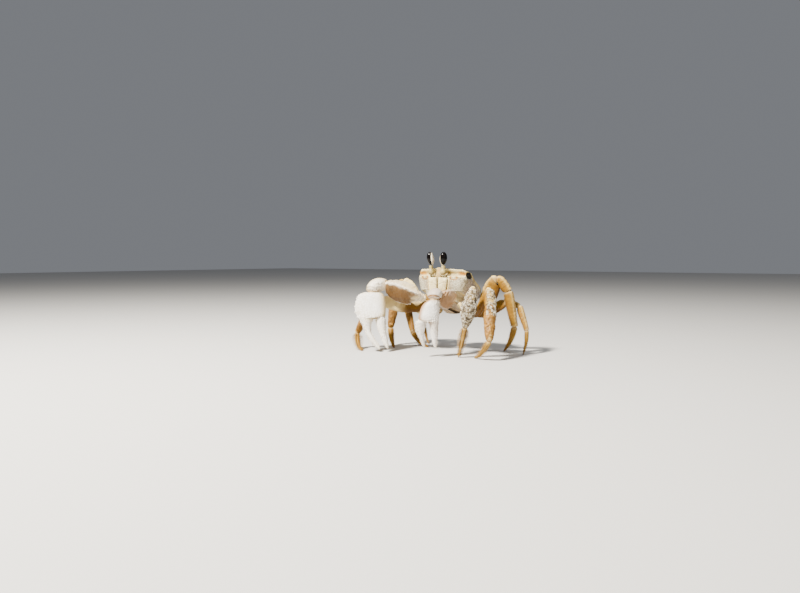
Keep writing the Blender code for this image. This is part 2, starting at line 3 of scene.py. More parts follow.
import bpy
import numpy as np
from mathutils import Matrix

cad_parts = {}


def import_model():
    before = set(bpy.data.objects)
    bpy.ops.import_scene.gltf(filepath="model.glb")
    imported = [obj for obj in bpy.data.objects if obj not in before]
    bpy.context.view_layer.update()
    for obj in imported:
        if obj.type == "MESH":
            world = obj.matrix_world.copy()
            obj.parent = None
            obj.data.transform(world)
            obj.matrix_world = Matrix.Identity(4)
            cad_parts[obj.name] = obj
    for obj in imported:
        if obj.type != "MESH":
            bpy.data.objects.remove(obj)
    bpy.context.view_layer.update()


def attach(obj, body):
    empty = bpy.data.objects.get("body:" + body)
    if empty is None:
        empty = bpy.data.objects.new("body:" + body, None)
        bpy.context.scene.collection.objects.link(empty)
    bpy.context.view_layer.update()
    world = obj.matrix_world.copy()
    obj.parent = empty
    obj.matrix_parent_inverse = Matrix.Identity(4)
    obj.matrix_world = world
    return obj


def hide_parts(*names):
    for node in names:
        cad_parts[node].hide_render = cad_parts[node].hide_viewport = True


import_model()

MM = 0.001
PLAN_SHIFT = np.array((1.684, 11.340, 0.0))

CARAPACE_HALF_WIDTH = 22.2
CARAPACE_FRONT = 19.6
CARAPACE_REAR = -17.5
CORNER_POWER = 8.0
BODY_CENTRE = (2.0, -2.0, 47.0)
NOSE_UP = math.radians(28)
BODY_TURN = math.radians(5)
PART_LINE = -0.45

LEG_NUMBERS = (2, 3, 4, 5)
# merus, carpus, propodus and dactyl length, then the merus depth and thickness
LEG_SIZES = {
    2: (30.0, 11.5, 20.5, 22.0, 9.6, 4.6),
    3: (31.0, 14.5, 27.0, 21.5, 11.0, 4.8),
    4: (32.5, 14.5, 26.5, 22.0, 11.0, 4.6),
    5: (25.0, 10.5, 19.0, 17.5, 7.2, 3.6),
}
# where each walking leg leaves the body, and where its merus begins: out, forward, up
HIPS = {2: (14.2, 13.0, 36.3), 3: (14.6, 7.8, 33.4), 4: (14.4, 1.8, 31.0), 5: (12.8, -3.0, 29.4)}
KNEE_ROOTS = {
    1: {2: (21.5, 11.5, 29.4), 3: (24.0, 3.5, 26.6), 4: (24.0, -6.2, 27.6), 5: (20.0, -11.5, 25.6)},
    -1: {2: (22.0, 11.5, 30.2), 3: (24.5, 4.0, 28.0), 4: (24.2, -4.5, 26.8), 5: (19.5, -11.5, 25.6)},
}
# heading and rise of merus, carpus and propodus, then the dactyl's heading
POSES = {
    1: {
        2: ((52, 37), (69, -36), (25, -108), 10),
        3: ((38, 40), (58, -47), (64, -57), 26),
        4: ((14, 64), (-13, -54), (-46, -79), 20),
        5: ((0, 28), (4, -17), (18, -66), -81),
    },
    -1: {
        2: ((31, 14), (33, -43), (21, -62), -40),
        3: ((-9, 55), (28, -63), (15, -81), -45),
        4: ((-22, 36), (-24, -82), (-36, -124), -18),
        5: ((-35, 34), (-40, -49), (-35, -92), -40),
    },
}
FOOT_HALF_WIDTH = 0.5
DACTYL_BOW = 0.13
PATH_STEP = 0.25
EVEN_ROWS = 13
INNER_LIMIT = 0.7
ARM_PULL = 1.2
PALM_TUCK = 2.0
JOINT_BENDS = (4.6, 3.4, 4.6, 3.4, 30.0)

EYE_PLACE = (5.4, 19.4, 59.3)
EYE_TOP = 73.6
EYE_LEANS = {1: 0.2, -1: 1.5}
EYE_INNER = {1: (-0.88, 0.47, 0.0), -1: (0.97, 0.26, 0.0)}
CORNEA_RADIUS = 2.65
CORNEA_BOTTOM = 64.2
GAP = 0.3
EYE_CUT = math.radians(62)

# how high up the body is widest, where its sides start to close in, and its lowest level
WIDEST = 0.72
FULL_WIDTH_TO = 8.0
BODY_FLOOR = -14.6
# millimetres from bead to bead: front margin, side margin, the orbit's lower lid
FRONT_BEADS, SIDE_BEADS, LID_BEADS = 0.62, 0.66, 0.50
# the dark spot: how far forward and how high on the side wall, and its half sizes
SPOT_PLACE, SPOT_HEIGHT, SPOT_SIZES = 11.3, 0.74, (3.6, 0.27)
STERNUM_SEAMS = (-0.62, -0.30, 0.02, 0.34, 0.64)
# the tail flap's way down the rear wall and forward below: forward, up, then its half widths
FLAP_ROUTE = ((-16.0, -3.0), (-13.9, -9.5), (-12.0, -14.2), (-8.6, -16.0), (-3.0, -16.4), (3.4, -16.3))
FLAP_WIDTHS = (6.4, 6.2, 5.6, 4.6, 3.4, 1.4)
FLAP_SEGMENTS = 6.0
# each feeler: stops (share of its length, then across, up and out from the face), radii along
# it, and how close the lash's beads are
FEELERS = {
    "antenna_": (
        ((0.0, 0.30, 0.36, -0.2), (0.25, 0.34, 0.52, 1.0), (0.5, 0.42, 0.64, 1.5), (1.0, 0.62, 0.80, 1.4)),
        (0.3, 0.62, 0.60, 0.46, 0.34, 0.15, 0.07, 0.03), 420.0,
    ),
    "antennule_": (
        ((0.0, 0.10, 0.34, -0.2), (0.25, 0.12, 0.44, 0.8), (0.5, 0.15, 0.52, 1.2), (1.0, 0.24, 0.46, 1.4)),
        (0.3, 0.52, 0.50, 0.40, 0.30, 0.20, 0.10, 0.04), 300.0,
    ),
}

MERUS_STATIONS = (0.00, 0.12, 0.30, 0.42, 0.60, 0.80, 0.92, 1.00)
MERUS_DEPTHS = (0.46, 0.50, 0.60, 0.96, 1.16, 1.12, 0.90, 0.62)
MERUS_THICKS = (0.84, 0.84, 0.84, 0.96, 1.00, 1.00, 0.98, 0.94)
CARPUS_PROFILE = ((0.0, 0.3, 0.7, 1.0), (0.58, 0.66, 0.68, 0.60), (0.94, 1.04, 1.08, 1.00))
PROPODUS_PROFILE = ((0.0, 0.25, 0.6, 1.0), (0.60, 0.66, 0.58, 0.42), (1.00, 1.06, 0.96, 0.78))
BRUSH_SHARES = {2: (1.85, 2.35, 1.90, 0.80), 3: (1.60, 1.80, 1.60, 1.00)}
BRUSH_CARPUS = {2: (0.94, 1.15, 1.50, 1.80), 3: (1.05, 1.45, 1.65, 1.60)}
# a dactyl's bristles, and the brushes' hairs and sand grains, by leg; where the horn ends
BRISTLE_COUNTS = {2: 620, 3: 420, 4: 360, 5: 320}
BRISTLE_LENGTHS = {2: 2.6, 3: 1.6, 4: 1.3, 5: 1.2}
EDGE_BRISTLES = 420
BRUSH_HAIRS = {2: 5200, 3: 3800}
BRUSH_GRAINS = {2: 4200, 3: 1200}
CARPUS_GRAINS = {2: 1500, 3: 700}
HORN_END = 0.93
DACTYL_PROFILE = ((0.0, 0.2, 0.5, 0.8, 1.0), (0.42, 0.42, 0.34, 0.22, 0.12), (0.78, 0.74, 0.58, 0.40, 0.24))

ACROSS = np.array((0.819, 0.574, 0.0))
MAJOR = {
    "side": -1,
    "word": "right",
    "hip": (11.8, 18.6, 39.0),
    "root": (17.0, 25.0, 42.4),
    "elbow": (38.5, 29.5, 48.8),
    "wrist": (44.8, 38.6, 43.8),
    "down": (0.13, -0.19, -0.97),
    "ridge": (0.574, -0.819, 0.26),
    "size": 1.0,
    "palm": (
        (0.0, -6.4, 6.4, 4.4), (1.4, -9.4, 8.2, 4.8), (5.0, -11.8, 9.6, 5.2), (9.5, -12.7, 10.0, 5.3),
        (13.5, -12.6, 10.1, 5.1), (17.2, -11.4, 9.9, 4.9), (18.2, -11.0, 9.4, 4.8),
        (18.8, -10.6, 1.6, 4.7), (21.5, -8.9, -0.1, 4.3), (24.5, -7.3, -1.0, 3.5), (28.2, -5.7, -1.1, 2.6),
        (33.0, -3.4, 0.9, 2.1), (38.0, 0.2, 4.0, 1.5), (41.4, 3.4, 5.9, 1.0), (42.8, 5.0, 6.4, 0.6),
    ),
    "finger": (
        (19.1, 3.7, 9.5, 3.6), (20.6, 2.8, 10.2, 3.6), (24.5, 3.5, 10.1, 3.1), (28.2, 4.8, 10.3, 2.6),
        (33.0, 6.5, 11.0, 2.1), (37.5, 8.4, 11.8, 1.5), (41.0, 10.4, 12.2, 1.0), (42.4, 11.4, 12.2, 0.6),
    ),
    "finger_cut_side": -1.0,
    "finger_at": 18.6,
}
MINOR = {
    "side": 1,
    "word": "left",
    "hip": (11.8, 18.6, 39.0),
    "root": (14.4, 22.4, 37.8),
    "elbow": (12.4, 36.0, 43.6),
    "wrist": (13.4, 44.6, 41.0),
    "down": (0.0, 0.02, -1.0),
    "ridge": (0.819, 0.574, 0.35),
    "size": 0.78,
    "palm": (
        (0.0, -3.4, 3.4, 3.0), (1.4, -5.4, 3.9, 3.5), (4.8, -8.4, 3.6, 3.8), (9.6, -10.2, 3.3, 3.8),
        (13.6, -11.0, 3.2, 3.4), (14.1, -10.6, 3.1, 3.3), (14.5, -5.0, 3.1, 3.2), (18.0, -3.0, 2.8, 2.6),
        (24.0, -2.2, 2.4, 1.8), (30.0, -0.9, 2.0, 1.3), (34.6, 0.5, 1.6, 0.55),
    ),
    "finger": (
        (14.8, -11.2, -5.6, 2.6), (16.0, -12.9, -5.4, 2.6), (19.0, -12.9, -6.2, 2.2),
        (24.5, -11.4, -7.4, 1.8), (30.0, -9.2, -6.8, 1.3), (34.0, -7.5, -6.4, 0.55),
    ),
    "finger_cut_side": 1.0,
    "finger_at": 14.3,
}
CLAW_MERUS_STATIONS = (0.00, 0.10, 0.24, 0.42, 0.66, 0.86, 1.00)
CLAW_MERUS_DEPTHS = (3.20, 3.60, 5.80, 8.60, 9.20, 7.60, 4.40)
CLAW_MERUS_THICKS = (2.80, 3.20, 5.20, 7.40, 7.80, 6.60, 4.40)
CLAW_CARPUS_PROFILE = ((0.0, 0.25, 0.55, 0.8, 1.0), (4.0, 5.0, 5.4, 5.2, 4.6), (4.2, 5.6, 6.4, 6.1, 5.0))
# the merus's three edges and its inner face, which carries painted brown shade, as ring angles
CLAW_EDGES = (0.0, 2.15, -2.15)
SHADE_ANGLE = 1.07


# ---------------------------------------------------------------- numbers
def unit(v):
    """Each vector over its own length."""
    v = np.asarray(v, float)
    return v / np.maximum(np.linalg.norm(v, axis=-1, keepdims=True), 1e-12)


def held(value):
    """The value kept within 0..1."""
    return np.clip(value, 0.0, 1.0)


def smooth(t):
    """0 below t = 0 and 1 above t = 1, 3t^2 - 2t^3 between."""
    t = held(t)
    return t * t * (3.0 - 2.0 * t)


def bump(value, low, high):
    """A raised cosine: 1 in the middle of low..high and 0 outside it."""
    t = held((value - low) / (high - low))
    return 0.5 - 0.5 * np.cos(2.0 * np.pi * t)


def bell(value, middle, width):
    """exp(-((value - middle) / width)^2)."""
    return np.exp(-(((value - middle) / width) ** 2))


def ring_angles(count):
    """Angles round a ring, evenly spaced from 0 to just under a full turn."""
    return np.linspace(0.0, 2.0 * np.pi, count, endpoint=False)


def turn_gap(turns, middle):
    """The angle from the middle to each place of a ring, between -pi and pi."""
    return np.angle(np.exp(1j * (turns - middle)))


def ring_bell(turns, middle, width):
    """exp(-(gap / width)^2) for that angle, as one row that serves every ring."""
    return np.exp(-((turn_gap(turns, middle) / width) ** 2))[None]


def lengths_along(points):
    """How far along the line through the points each of them is."""
    return np.concatenate([[0.0], np.cumsum(np.linalg.norm(np.diff(points, axis=0), axis=1))])


def read_off(run, far, table):
    """Each column of the table at these distances, in straight lines between its rows."""
    return np.stack([np.interp(run, far, column) for column in table.T], axis=-1)


def circle(turns, one, two):
    """Points at these angles on the unit circle between two directions."""
    return np.cos(turns)[:, None] * one + np.sin(turns)[:, None] * two


def curve(stations, values, t):
    """A smooth line through the stations with no overshoot: cubic pieces, each station's slope
    being the harmonic mean of the chords beside it, or 0 where they turn."""
    x = np.asarray(stations, float)
    y = np.asarray(values, float)
    wide = np.diff(x)
    chord = np.diff(y) / wide
    slope = np.zeros_like(y)
    level = chord[:-1] * chord[1:] > 0.0
    total = np.where(level, chord[:-1] + chord[1:], 1.0)
    slope[1:-1] = np.where(level, 2.0 * chord[:-1] * chord[1:] / total, 0.0)
    slope[0], slope[-1] = chord[0], chord[-1]
    t = np.clip(t, x[0], x[-1])
    k = np.clip(np.searchsorted(x, t, side="right") - 1, 0, len(wide) - 1)
    u = (t - x[k]) / wide[k]
    rest = 1.0 - u
    start = y[k] * (1.0 + 2.0 * u) * rest ** 2 + y[k + 1] * u * u * (3.0 - 2.0 * u)
    return start + wide[k] * (slope[k] * u * rest ** 2 - slope[k + 1] * u * u * rest)


def lattice(cell, seed):
    """A fixed number from 0 to 1 for each whole-numbered cell: the fraction of a large sine."""
    value = np.sin(cell @ np.array((127.1, 311.7, 74.7)) + seed * 53.3) * 43758.5453
    return value - np.floor(value)


def chances(count, steps, seed, many):
    """For each of count things this many fixed numbers from 0 to 1: the lattice's, on a line
    of cells that moves on by one and these two steps."""
    index = np.arange(count)
    cell = np.stack([index, index * steps[0], index * steps[1]], axis=-1)
    return [lattice(cell, seed + k) for k in range(many)]


def noise(points, size, seed=0):
    """Smooth noise from -1 to 1: the eight corner numbers of each cell, blended by S curves."""
    p = points / size
    base = np.floor(p)
    f = smooth(p - base)
    total = 0.0
    for corner in np.ndindex(2, 2, 2):
        weight = np.prod(np.where(np.array(corner) > 0, f, 1.0 - f), axis=-1)
        total = total + weight * lattice(base + np.array(corner), seed)
    return 2.0 * total - 1.0


def granules(points, size, seed=0, reach=0.62):
    """Rounded grains: 1 - (d / reach)^2 where d is the distance, in cells, to the nearest of
    the grains that sit one to a cell at a scattered place."""
    p = points / size
    base = np.floor(p)
    nearest = np.full(p.shape[:-1], 9.0)
    for step in np.ndindex(3, 3, 3):
        cell = base + np.array(step) - 1.0
        place = np.stack([lattice(cell, seed + k) for k in (1, 2, 3)], axis=-1)
        gap = np.linalg.norm(cell + 0.2 + 0.6 * place - p, axis=-1)
        nearest = np.minimum(nearest, gap)
    return held(1.0 - (nearest / reach) ** 2)


# ---------------------------------------------------------------- meshes
def stand(name, data):
    """An object of this data, linked into the scene."""
    thing = bpy.data.objects.new(name, data)
    bpy.context.scene.collection.objects.link(thing)
    return thing


def put(name, points, faces, finish, nodes=(), marks=None, seams=None):
    """Makes a piece from points (n, 3) in millimetres and arrays of three or four corners,
    turned so that its volume is positive, with its marks as point attributes."""
    points = (np.asarray(points, float).reshape(-1, 3) + PLAN_SHIFT) * MM
    triangles = np.concatenate([np.stack([f[:, 0], f[:, k], f[:, k + 1]], axis=1)
                                for f in faces for k in range(1, f.shape[1] - 1)])
    a, b, c = (points[triangles[:, k]] for k in range(3))
    inside_out = np.einsum("ij,ij->", a, np.cross(b, c)) < 0.0
    corners = []
    for f in faces:
        corners += (f[:, ::-1] if inside_out else f).tolist()
    mesh = bpy.data.meshes.new(name)
    mesh.from_pydata(points.tolist(), [], corners)
    for key, value in (marks or {}).items():
        layer = mesh.attributes.new(key, "FLOAT", "POINT")
        layer.data.foreach_set("value", np.asarray(value, np.float32).ravel())
    if seams is not None:
        layer = mesh.uv_layers.new(name="OFBake")
        order = np.zeros(len(mesh.loops), np.int32)
        mesh.loops.foreach_get("vertex_index", order)
        layer.data.foreach_set("uv", seams[order].astype(np.float32).ravel())
    mesh.materials.append(finish)
    mesh.shade_smooth()
    piece = stand(name, mesh)
    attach(piece, "root")
    if nodes:
        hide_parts(*nodes)
    return piece


def ring_faces(rows, cols):
    """Quads between the rings of a tube, and a fan at each end about two added points."""
    k = np.arange(rows - 1)[:, None] * cols
    j = np.arange(cols)[None, :]
    n = (j + 1) % cols
    quads = np.stack([k + j, k + n, k + cols + n, k + cols + j], axis=-1).reshape(-1, 4)
    j, n = j[0], n[0]
    last = (rows - 1) * cols
    first = np.stack([n, j, np.full(cols, rows * cols)], axis=1)
    final = np.stack([last + j, last + n, np.full(cols, rows * cols + 1)], axis=1)
    return [quads, np.concatenate([first, final])]


def put_rings(name, grid, finish, nodes=(), marks=None):
    """A closed tube from rings (rows, cols, 3), each end closed about its ring's middle."""
    rows, cols = grid.shape[:2]
    ends = [grid[0].mean(axis=0), grid[-1].mean(axis=0)]
    points = np.vstack([grid.reshape(-1, 3), *ends])
    full = {}
    for key, value in (marks or {}).items():
        value = np.broadcast_to(value, (rows, cols))
        full[key] = np.concatenate([value.ravel(), [value[0].mean(), value[-1].mean()]])
    return put(name, points, ring_faces(rows, cols), finish, nodes, full)


def put_lifted(name, grid, lift, finish, node, marks):
    """A tube that dresses one solid, moved along its normals by the lift."""
    lifted = grid + ring_normals(grid) * lift[..., None]
    return put_rings(name, lifted, finish, [node], marks)


def ring_normals(grid):
    """Unit normals of a tube: the step along it crossed with the step round it, turned out."""
    along = np.gradient(grid, axis=0)
    around = np.roll(grid, -1, axis=1) - np.roll(grid, 1, axis=1)
    normal = unit(np.cross(along, around))
    away = grid - grid.mean(axis=1, keepdims=True)
    return normal * np.sign((normal * away).sum())


def cube_skin(across, along, upward):
    """The skin of a cube of that many cells: six sheets of quads, welded where their whole
    numbers agree, and scaled to -1..1."""
    sizes = (across, along, upward)
    sheets = []
    for axis in range(3):
        p, q = (axis + 1) % 3, (axis + 2) % 3
        i, j = np.meshgrid(np.arange(sizes[p]), np.arange(sizes[q]), indexing="ij")
        for end in (0, 1):
            quad = np.zeros(i.shape + (4, 3), int)
            quad[..., axis] = sizes[axis] * end
            for k, (di, dj) in enumerate(((0, 0), (1, 0), (1, 1), (0, 1))):
                quad[..., k, p] = i + di
                quad[..., k, q] = j + dj
            sheets.append((quad if end else quad[:, :, ::-1]).reshape(-1, 4, 3))
    keys, where = np.unique(np.concatenate(sheets).reshape(-1, 3), axis=0, return_inverse=True)
    return 2.0 * keys / np.array(sizes) - 1.0, where.reshape(-1, 4)


def face_normals(points, quads):
    """Unit normals at the points: the sum of the crossed diagonals of the quads about each."""
    one = points[quads[:, 2]] - points[quads[:, 0]]
    two = points[quads[:, 3]] - points[quads[:, 1]]
    normal = np.cross(one, two)
    total = np.zeros_like(points)
    for k in range(4):
        np.add.at(total, quads[:, k], normal)
    total = unit(total)
    away = points - points.mean(axis=0)
    return total * np.sign((total * away).sum())


# ---------------------------------------------------------------- finishes
def new_group(name, inputs, outputs):
    """An empty shader group with its named inputs (kind, default) and outputs (kind)."""
    group = bpy.data.node_groups.new(name, "ShaderNodeTree")
    for key, (kind, value) in inputs.items():
        socket = group.interface.new_socket(key, in_out="INPUT", socket_type="NodeSocket" + kind)
        if value is not None:
            socket.default_value = value
    for key, kind in outputs.items():
        group.interface.new_socket(key, in_out="OUTPUT", socket_type="NodeSocket" + kind)
    return group, group.nodes.new("NodeGroupInput"), group.nodes.new("NodeGroupOutput")


def feed(tree, socket, value):
    """Links an output to a socket, or sets the socket to a plain value."""
    if isinstance(value, bpy.types.NodeSocket):
        tree.links.new(value, socket)
    elif isinstance(value, tuple) and len(value) == 3 and socket.type == "RGBA":
        socket.default_value = (*value, 1.0)
    else:
        socket.default_value = value


def add_math(tree, operation, *values):
    """A Math node: its inputs are the values, numbers or sockets, in order."""
    node = tree.nodes.new("ShaderNodeMath")
    node.operation = operation
    for socket, value in zip(node.inputs, values):
        feed(tree, socket, value)
    return node.outputs[0]


def add_mix(tree, share, one, two):
    """A colour Mix node from one to two by this share."""
    node = tree.nodes.new("ShaderNodeMix")
    node.data_type = "RGBA"
    feed(tree, node.inputs[0], share)
    feed(tree, node.inputs[6], one)
    feed(tree, node.inputs[7], two)
    return node.outputs[2]


def add_noise(tree, place, scale, detail=2.0, roughness=0.5, distortion=0.0):
    """A Noise node on a place, scaled per metre."""
    node = tree.nodes.new("ShaderNodeTexNoise")
    feed(tree, node.inputs["Vector"], place)
    feed(tree, node.inputs["Scale"], scale)
    node.inputs["Detail"].default_value = detail
    node.inputs["Roughness"].default_value = roughness
    node.inputs["Distortion"].default_value = distortion
    return node.outputs["Fac"]


def add_cells(tree, place, scale):
    """The distance to the nearest point of a cell pattern."""
    node = tree.nodes.new("ShaderNodeTexVoronoi")
    feed(tree, node.inputs["Vector"], place)
    feed(tree, node.inputs["Scale"], scale)
    return node.outputs["Distance"]


def add_range(tree, value, low, high, to_low=0.0, to_high=1.0):
    """A value carried by an S curve from low..high to to_low..to_high, and held there."""
    node = tree.nodes.new("ShaderNodeMapRange")
    node.interpolation_type = "SMOOTHSTEP"
    given = {"Value": value, "From Min": low, "From Max": high, "To Min": to_low, "To Max": to_high}
    for key, number in given.items():
        feed(tree, node.inputs[key], number)
    return node.outputs[0]


def mottle_group():
    """Broad clouds and fine freckles of pigment: two noises, each spread to 0..1."""
    inputs = {"Place": ("Vector", None), "Clouds": ("Float", 160.0), "Freckles": ("Float", 1500.0)}
    group, given, out = new_group("pigment_mottle", inputs, {"Clouds": "Float", "Freckles": "Float"})
    clouds = add_noise(group, given.outputs["Place"], given.outputs["Clouds"], 4.0, 0.55, 0.3)
    freckles = add_noise(group, given.outputs["Place"], given.outputs["Freckles"], 2.0, 0.6)
    group.links.new(add_range(group, clouds, 0.36, 0.64), out.inputs["Clouds"])
    group.links.new(add_range(group, freckles, 0.55, 0.70), out.inputs["Freckles"])
    return group


def grain_group():
    """Height of the shell's fine grains: rounded cells, uneven from place to place."""
    inputs = {"Place": ("Vector", None), "Grains": ("Float", 2200.0)}
    group, given, out = new_group("shell_grain", inputs, {"Height": "Float"})
    cells = add_cells(group, given.outputs["Place"], given.outputs["Grains"])
    grains = add_range(group, cells, 0.55, 0.05)
    uneven = add_noise(group, given.outputs["Place"], 420.0, 3.0)
    fine = add_noise(group, given.outputs["Place"], 5200.0, 2.0)
    total = add_math(group, "MULTIPLY", grains, uneven)
    total = add_math(group, "MULTIPLY_ADD", fine, 0.25, total)
    group.links.new(total, out.inputs["Height"])
    return group


def sand_group():
    """Sand stuck in hollows and on hair: a share where grains sit, and their mixed colours."""
    inputs = {"Place": ("Vector", None), "Cover": ("Float", 0.3)}
    group, given, out = new_group("stuck_sand", inputs, {"Share": "Float", "Color": "Color"})
    cells = group.nodes.new("ShaderNodeTexVoronoi")
    group.links.new(given.outputs["Place"], cells.inputs["Vector"])
    cells.inputs["Scale"].default_value = 1700.0
    patch = add_noise(group, given.outputs["Place"], 330.0, 3.0)
    level = add_math(group, "SUBTRACT", 1.0, given.outputs["Cover"])
    share = add_range(group, patch, level, add_math(group, "ADD", level, 0.12))
    dot = add_range(group, cells.outputs["Distance"], 0.46, 0.30)
    group.links.new(add_math(group, "MULTIPLY", share, dot), out.inputs["Share"])
    split = group.nodes.new("ShaderNodeSeparateColor")
    group.links.new(cells.outputs["Color"], split.inputs[0])
    medium = add_range(group, split.outputs[0], 0.15, 0.5)
    tone = add_mix(group, medium, (0.05, 0.035, 0.02), (0.36, 0.29, 0.18))
    tone = add_mix(group, add_range(group, split.outputs[1], 0.7, 0.8), tone, (0.60, 0.52, 0.38))
    group.links.new(tone, out.inputs["Color"])
    return group


MOTTLE = mottle_group()
GRAIN = grain_group()
SAND = sand_group()


class Finish:
    """A material that is being put together: its shader, its place on the object and its marks."""

    def __init__(self, name, roughness, coat=0.0, specular=0.5):
        self.material = bpy.data.materials.new(name)
        self.material.use_nodes = True
        self.tree = self.material.node_tree
        self.shader = self.tree.nodes["Principled BSDF"]
        self.shader.inputs["Roughness"].default_value = roughness
        self.shader.inputs["Specular IOR Level"].default_value = specular
        self.place = self.tree.nodes.new("ShaderNodeTexCoord").outputs["Object"]
        if coat:
            self.shader.inputs["Coat Weight"].default_value = coat
            self.shader.inputs["Coat Roughness"].default_value = 0.25

    def mark(self, name):
        """A mark of the mesh, as a shader value."""
        node = self.tree.nodes.new("ShaderNodeAttribute")
        node.attribute_name = name
        return node.outputs["Fac"]

    def group(self, tree, **values):
        """A shared group, placed on the object, with these inputs."""
        node = self.tree.nodes.new("ShaderNodeGroup")
        node.node_tree = tree
        self.tree.links.new(self.place, node.inputs["Place"])
        for key, value in values.items():
            feed(self.tree, node.inputs[key], value)
        return node.outputs

    def mix(self, share, one, two):
        """A colour Mix of this material."""
        return add_mix(self.tree, share, one, two)

    def stain(self, colour, share, strength, tone):
        """The colour with the tone mixed in by the share times the strength."""
        return self.mix(add_math(self.tree, "MULTIPLY", share, strength), colour, tone)

    def marked(self, colour, name, tone):
        """Where the mark is, the colour gives way to the tone."""
        return self.mix(self.mark(name), colour, tone)

    def clouded(self, colour, name, mottle, one, two):
        """Where the mark is, the colour gives way to a tone that clouds between these two."""
        mark = self.mark(name)
        return self.mix(mark, colour, self.mix(mottle["Clouds"], one, two))

    def pigment(self, clouds, freckles, grains):
        """The mottle's two shares and the grains' height, at these scales."""
        mottle = self.group(MOTTLE, Clouds=clouds, Freckles=freckles)
        return mottle, self.group(GRAIN, Grains=grains)["Height"]

    def sanded(self, colour, cover):
        """The colour under stuck sand, where the dusty mark lets it lie."""
        sand = self.group(SAND, Cover=cover)
        return self.stain(colour, sand["Share"], self.mark("dusty"), sand["Color"])

    def close(self, colour, height, depth):
        """Feeds the colour, and a bump of this depth in millimetres from the height."""
        self.tree.links.new(colour, self.shader.inputs["Base Color"])
        bumps = self.tree.nodes.new("ShaderNodeBump")
        bumps.inputs["Distance"].default_value = depth * MM
        self.tree.links.new(height, bumps.inputs["Height"])
        self.tree.links.new(bumps.outputs[0], self.shader.inputs["Normal"])
        return self.material


def shell_finish():
    """The body's shell: straw and sand, cream at the margins, painted shade in bluish grey on the lower rear
    flanks, one dark spot.
    """
    f = Finish("body_shell", 0.55, 0.04, 0.3)
    mottle, grains = f.pigment(150.0, 1300.0, 2300.0)
    colour = f.mix(mottle["Clouds"], (0.38, 0.29, 0.11), (0.58, 0.48, 0.24))
    colour = f.clouded(colour, "cheek", mottle, (0.37, 0.34, 0.245), (0.63, 0.59, 0.435))
    colour = f.marked(colour, "cream", (0.90, 0.80, 0.46))
    # amber: orange-tan on the face, partly the shell's own colour and partly painted shade in the orbits and
    # beside the mouth
    colour = f.clouded(colour, "amber", mottle, (0.30, 0.125, 0.012), (0.44, 0.21, 0.030))
    # painted shade: bluish grey over the lower flanks towards the rear and low on the rear wall
    colour = f.clouded(colour, "flank_shade", mottle, (0.29, 0.255, 0.25), (0.50, 0.455, 0.435))
    speckle = add_math(f.tree, "MULTIPLY_ADD", f.mark("cheek"), 0.35, 0.30)
    colour = f.stain(colour, mottle["Freckles"], speckle, (0.11, 0.07, 0.035))
    # painted shade in the grooves, orbits, furrows and between granules
    colour = f.stain(colour, f.mark("shade_and_seams"), 0.74, (0.12, 0.085, 0.045))
    colour = f.sanded(colour, 0.40)
    colour = f.marked(colour, "spot", (0.0025, 0.0015, 0.001))
    return f.close(colour, grains, 0.10)


def claw_finish(name, pink, brown):
    """A claw's shell: white, warmed to pink or cream near the joints, with painted shade in tan on sides
    turned from the light and in brown on the merus's inner face.
    """
    f = Finish(name, 0.48, 0.04, 0.22)
    mottle, grains = f.pigment(120.0, 900.0, 1500.0)
    colour = f.mix(mottle["Clouds"], (0.86, 0.82, 0.74), (0.93, 0.91, 0.87))
    # pink near the joints, and painted shade in tan where sides turn away from the light
    colour = f.marked(colour, "warmth_and_shade", pink)
    # painted shade, brown, on the merus's inner face
    colour = f.clouded(colour, "shade", mottle, brown, (0.150, 0.062, 0.006))
    speckle = add_math(f.tree, "MULTIPLY_ADD", f.mark("speckled"), 0.85, 0.04)
    colour = f.stain(colour, mottle["Freckles"], speckle, (0.20, 0.14, 0.08))
    # painted shade between grains and in hollows; darker seams
    colour = f.stain(colour, f.mark("shade_and_seams"), 0.55, (0.30, 0.21, 0.11))
    colour = f.marked(colour, "tip", (0.70, 0.60, 0.46))
    return f.close(colour, grains, 0.12)


def leg_finish(name, upper, middle, lower):
    """A leg's shell: pale along the top, golden on the sides, amber below, partly its own colour and partly
    a painted highlight on top and painted shade below; clouded, with its joint ends pale and its claw tip
    brown."""
    f = Finish(name, 0.5, 0.0, 0.15)
    mottle, grains = f.pigment(210.0, 1500.0, 2400.0)
    height = f.mark("upper")
    # tones by height round the leg: partly painted highlight on top and painted shade below
    colour = f.mix(add_range(f.tree, height, -0.9, 0.1), lower, middle)
    colour = f.mix(add_range(f.tree, height, 0.1, 0.95), colour, upper)
    colour = f.stain(colour, mottle["Clouds"], 0.50, (0.15, 0.062, 0.006))
    colour = f.stain(colour, mottle["Freckles"], 0.45, (0.06, 0.028, 0.006))
    # painted shade in wrinkles, flutes and between grains, darker seams, and a painted shadow on one merus
    colour = f.stain(colour, f.mark("shade_and_seams"), 0.60, (0.070, 0.030, 0.005))
    # pale joint ends, a painted highlight along the top edge, and painted sunlight on one merus
    colour = f.stain(colour, f.mark("pale"), 0.90, (0.74, 0.59, 0.28))
    colour = f.sanded(colour, 0.42)
    colour = f.marked(colour, "tip", (0.10, 0.05, 0.025))
    return f.close(colour, grains, 0.08)


def plain_shell_finish(name, light, dark):
    """Belly plates, mouth plates and eyestalks: two clouded tones, grains and a paler mark."""
    f = Finish(name, 0.48, 0.1)
    mottle, grains = f.pigment(190.0, 1600.0, 2600.0)
    colour = f.mix(mottle["Clouds"], dark, light)
    colour = f.clouded(colour, "pale", mottle, (0.27, 0.24, 0.17), (0.50, 0.46, 0.34))
    colour = f.stain(colour, mottle["Freckles"], 0.3, (0.12, 0.07, 0.035))
    # painted shade in hollows and grooves, and darker seams
    colour = f.stain(colour, f.mark("shade_and_seams"), 0.75, (0.15, 0.075, 0.02))
    return f.close(colour, grains, 0.07)


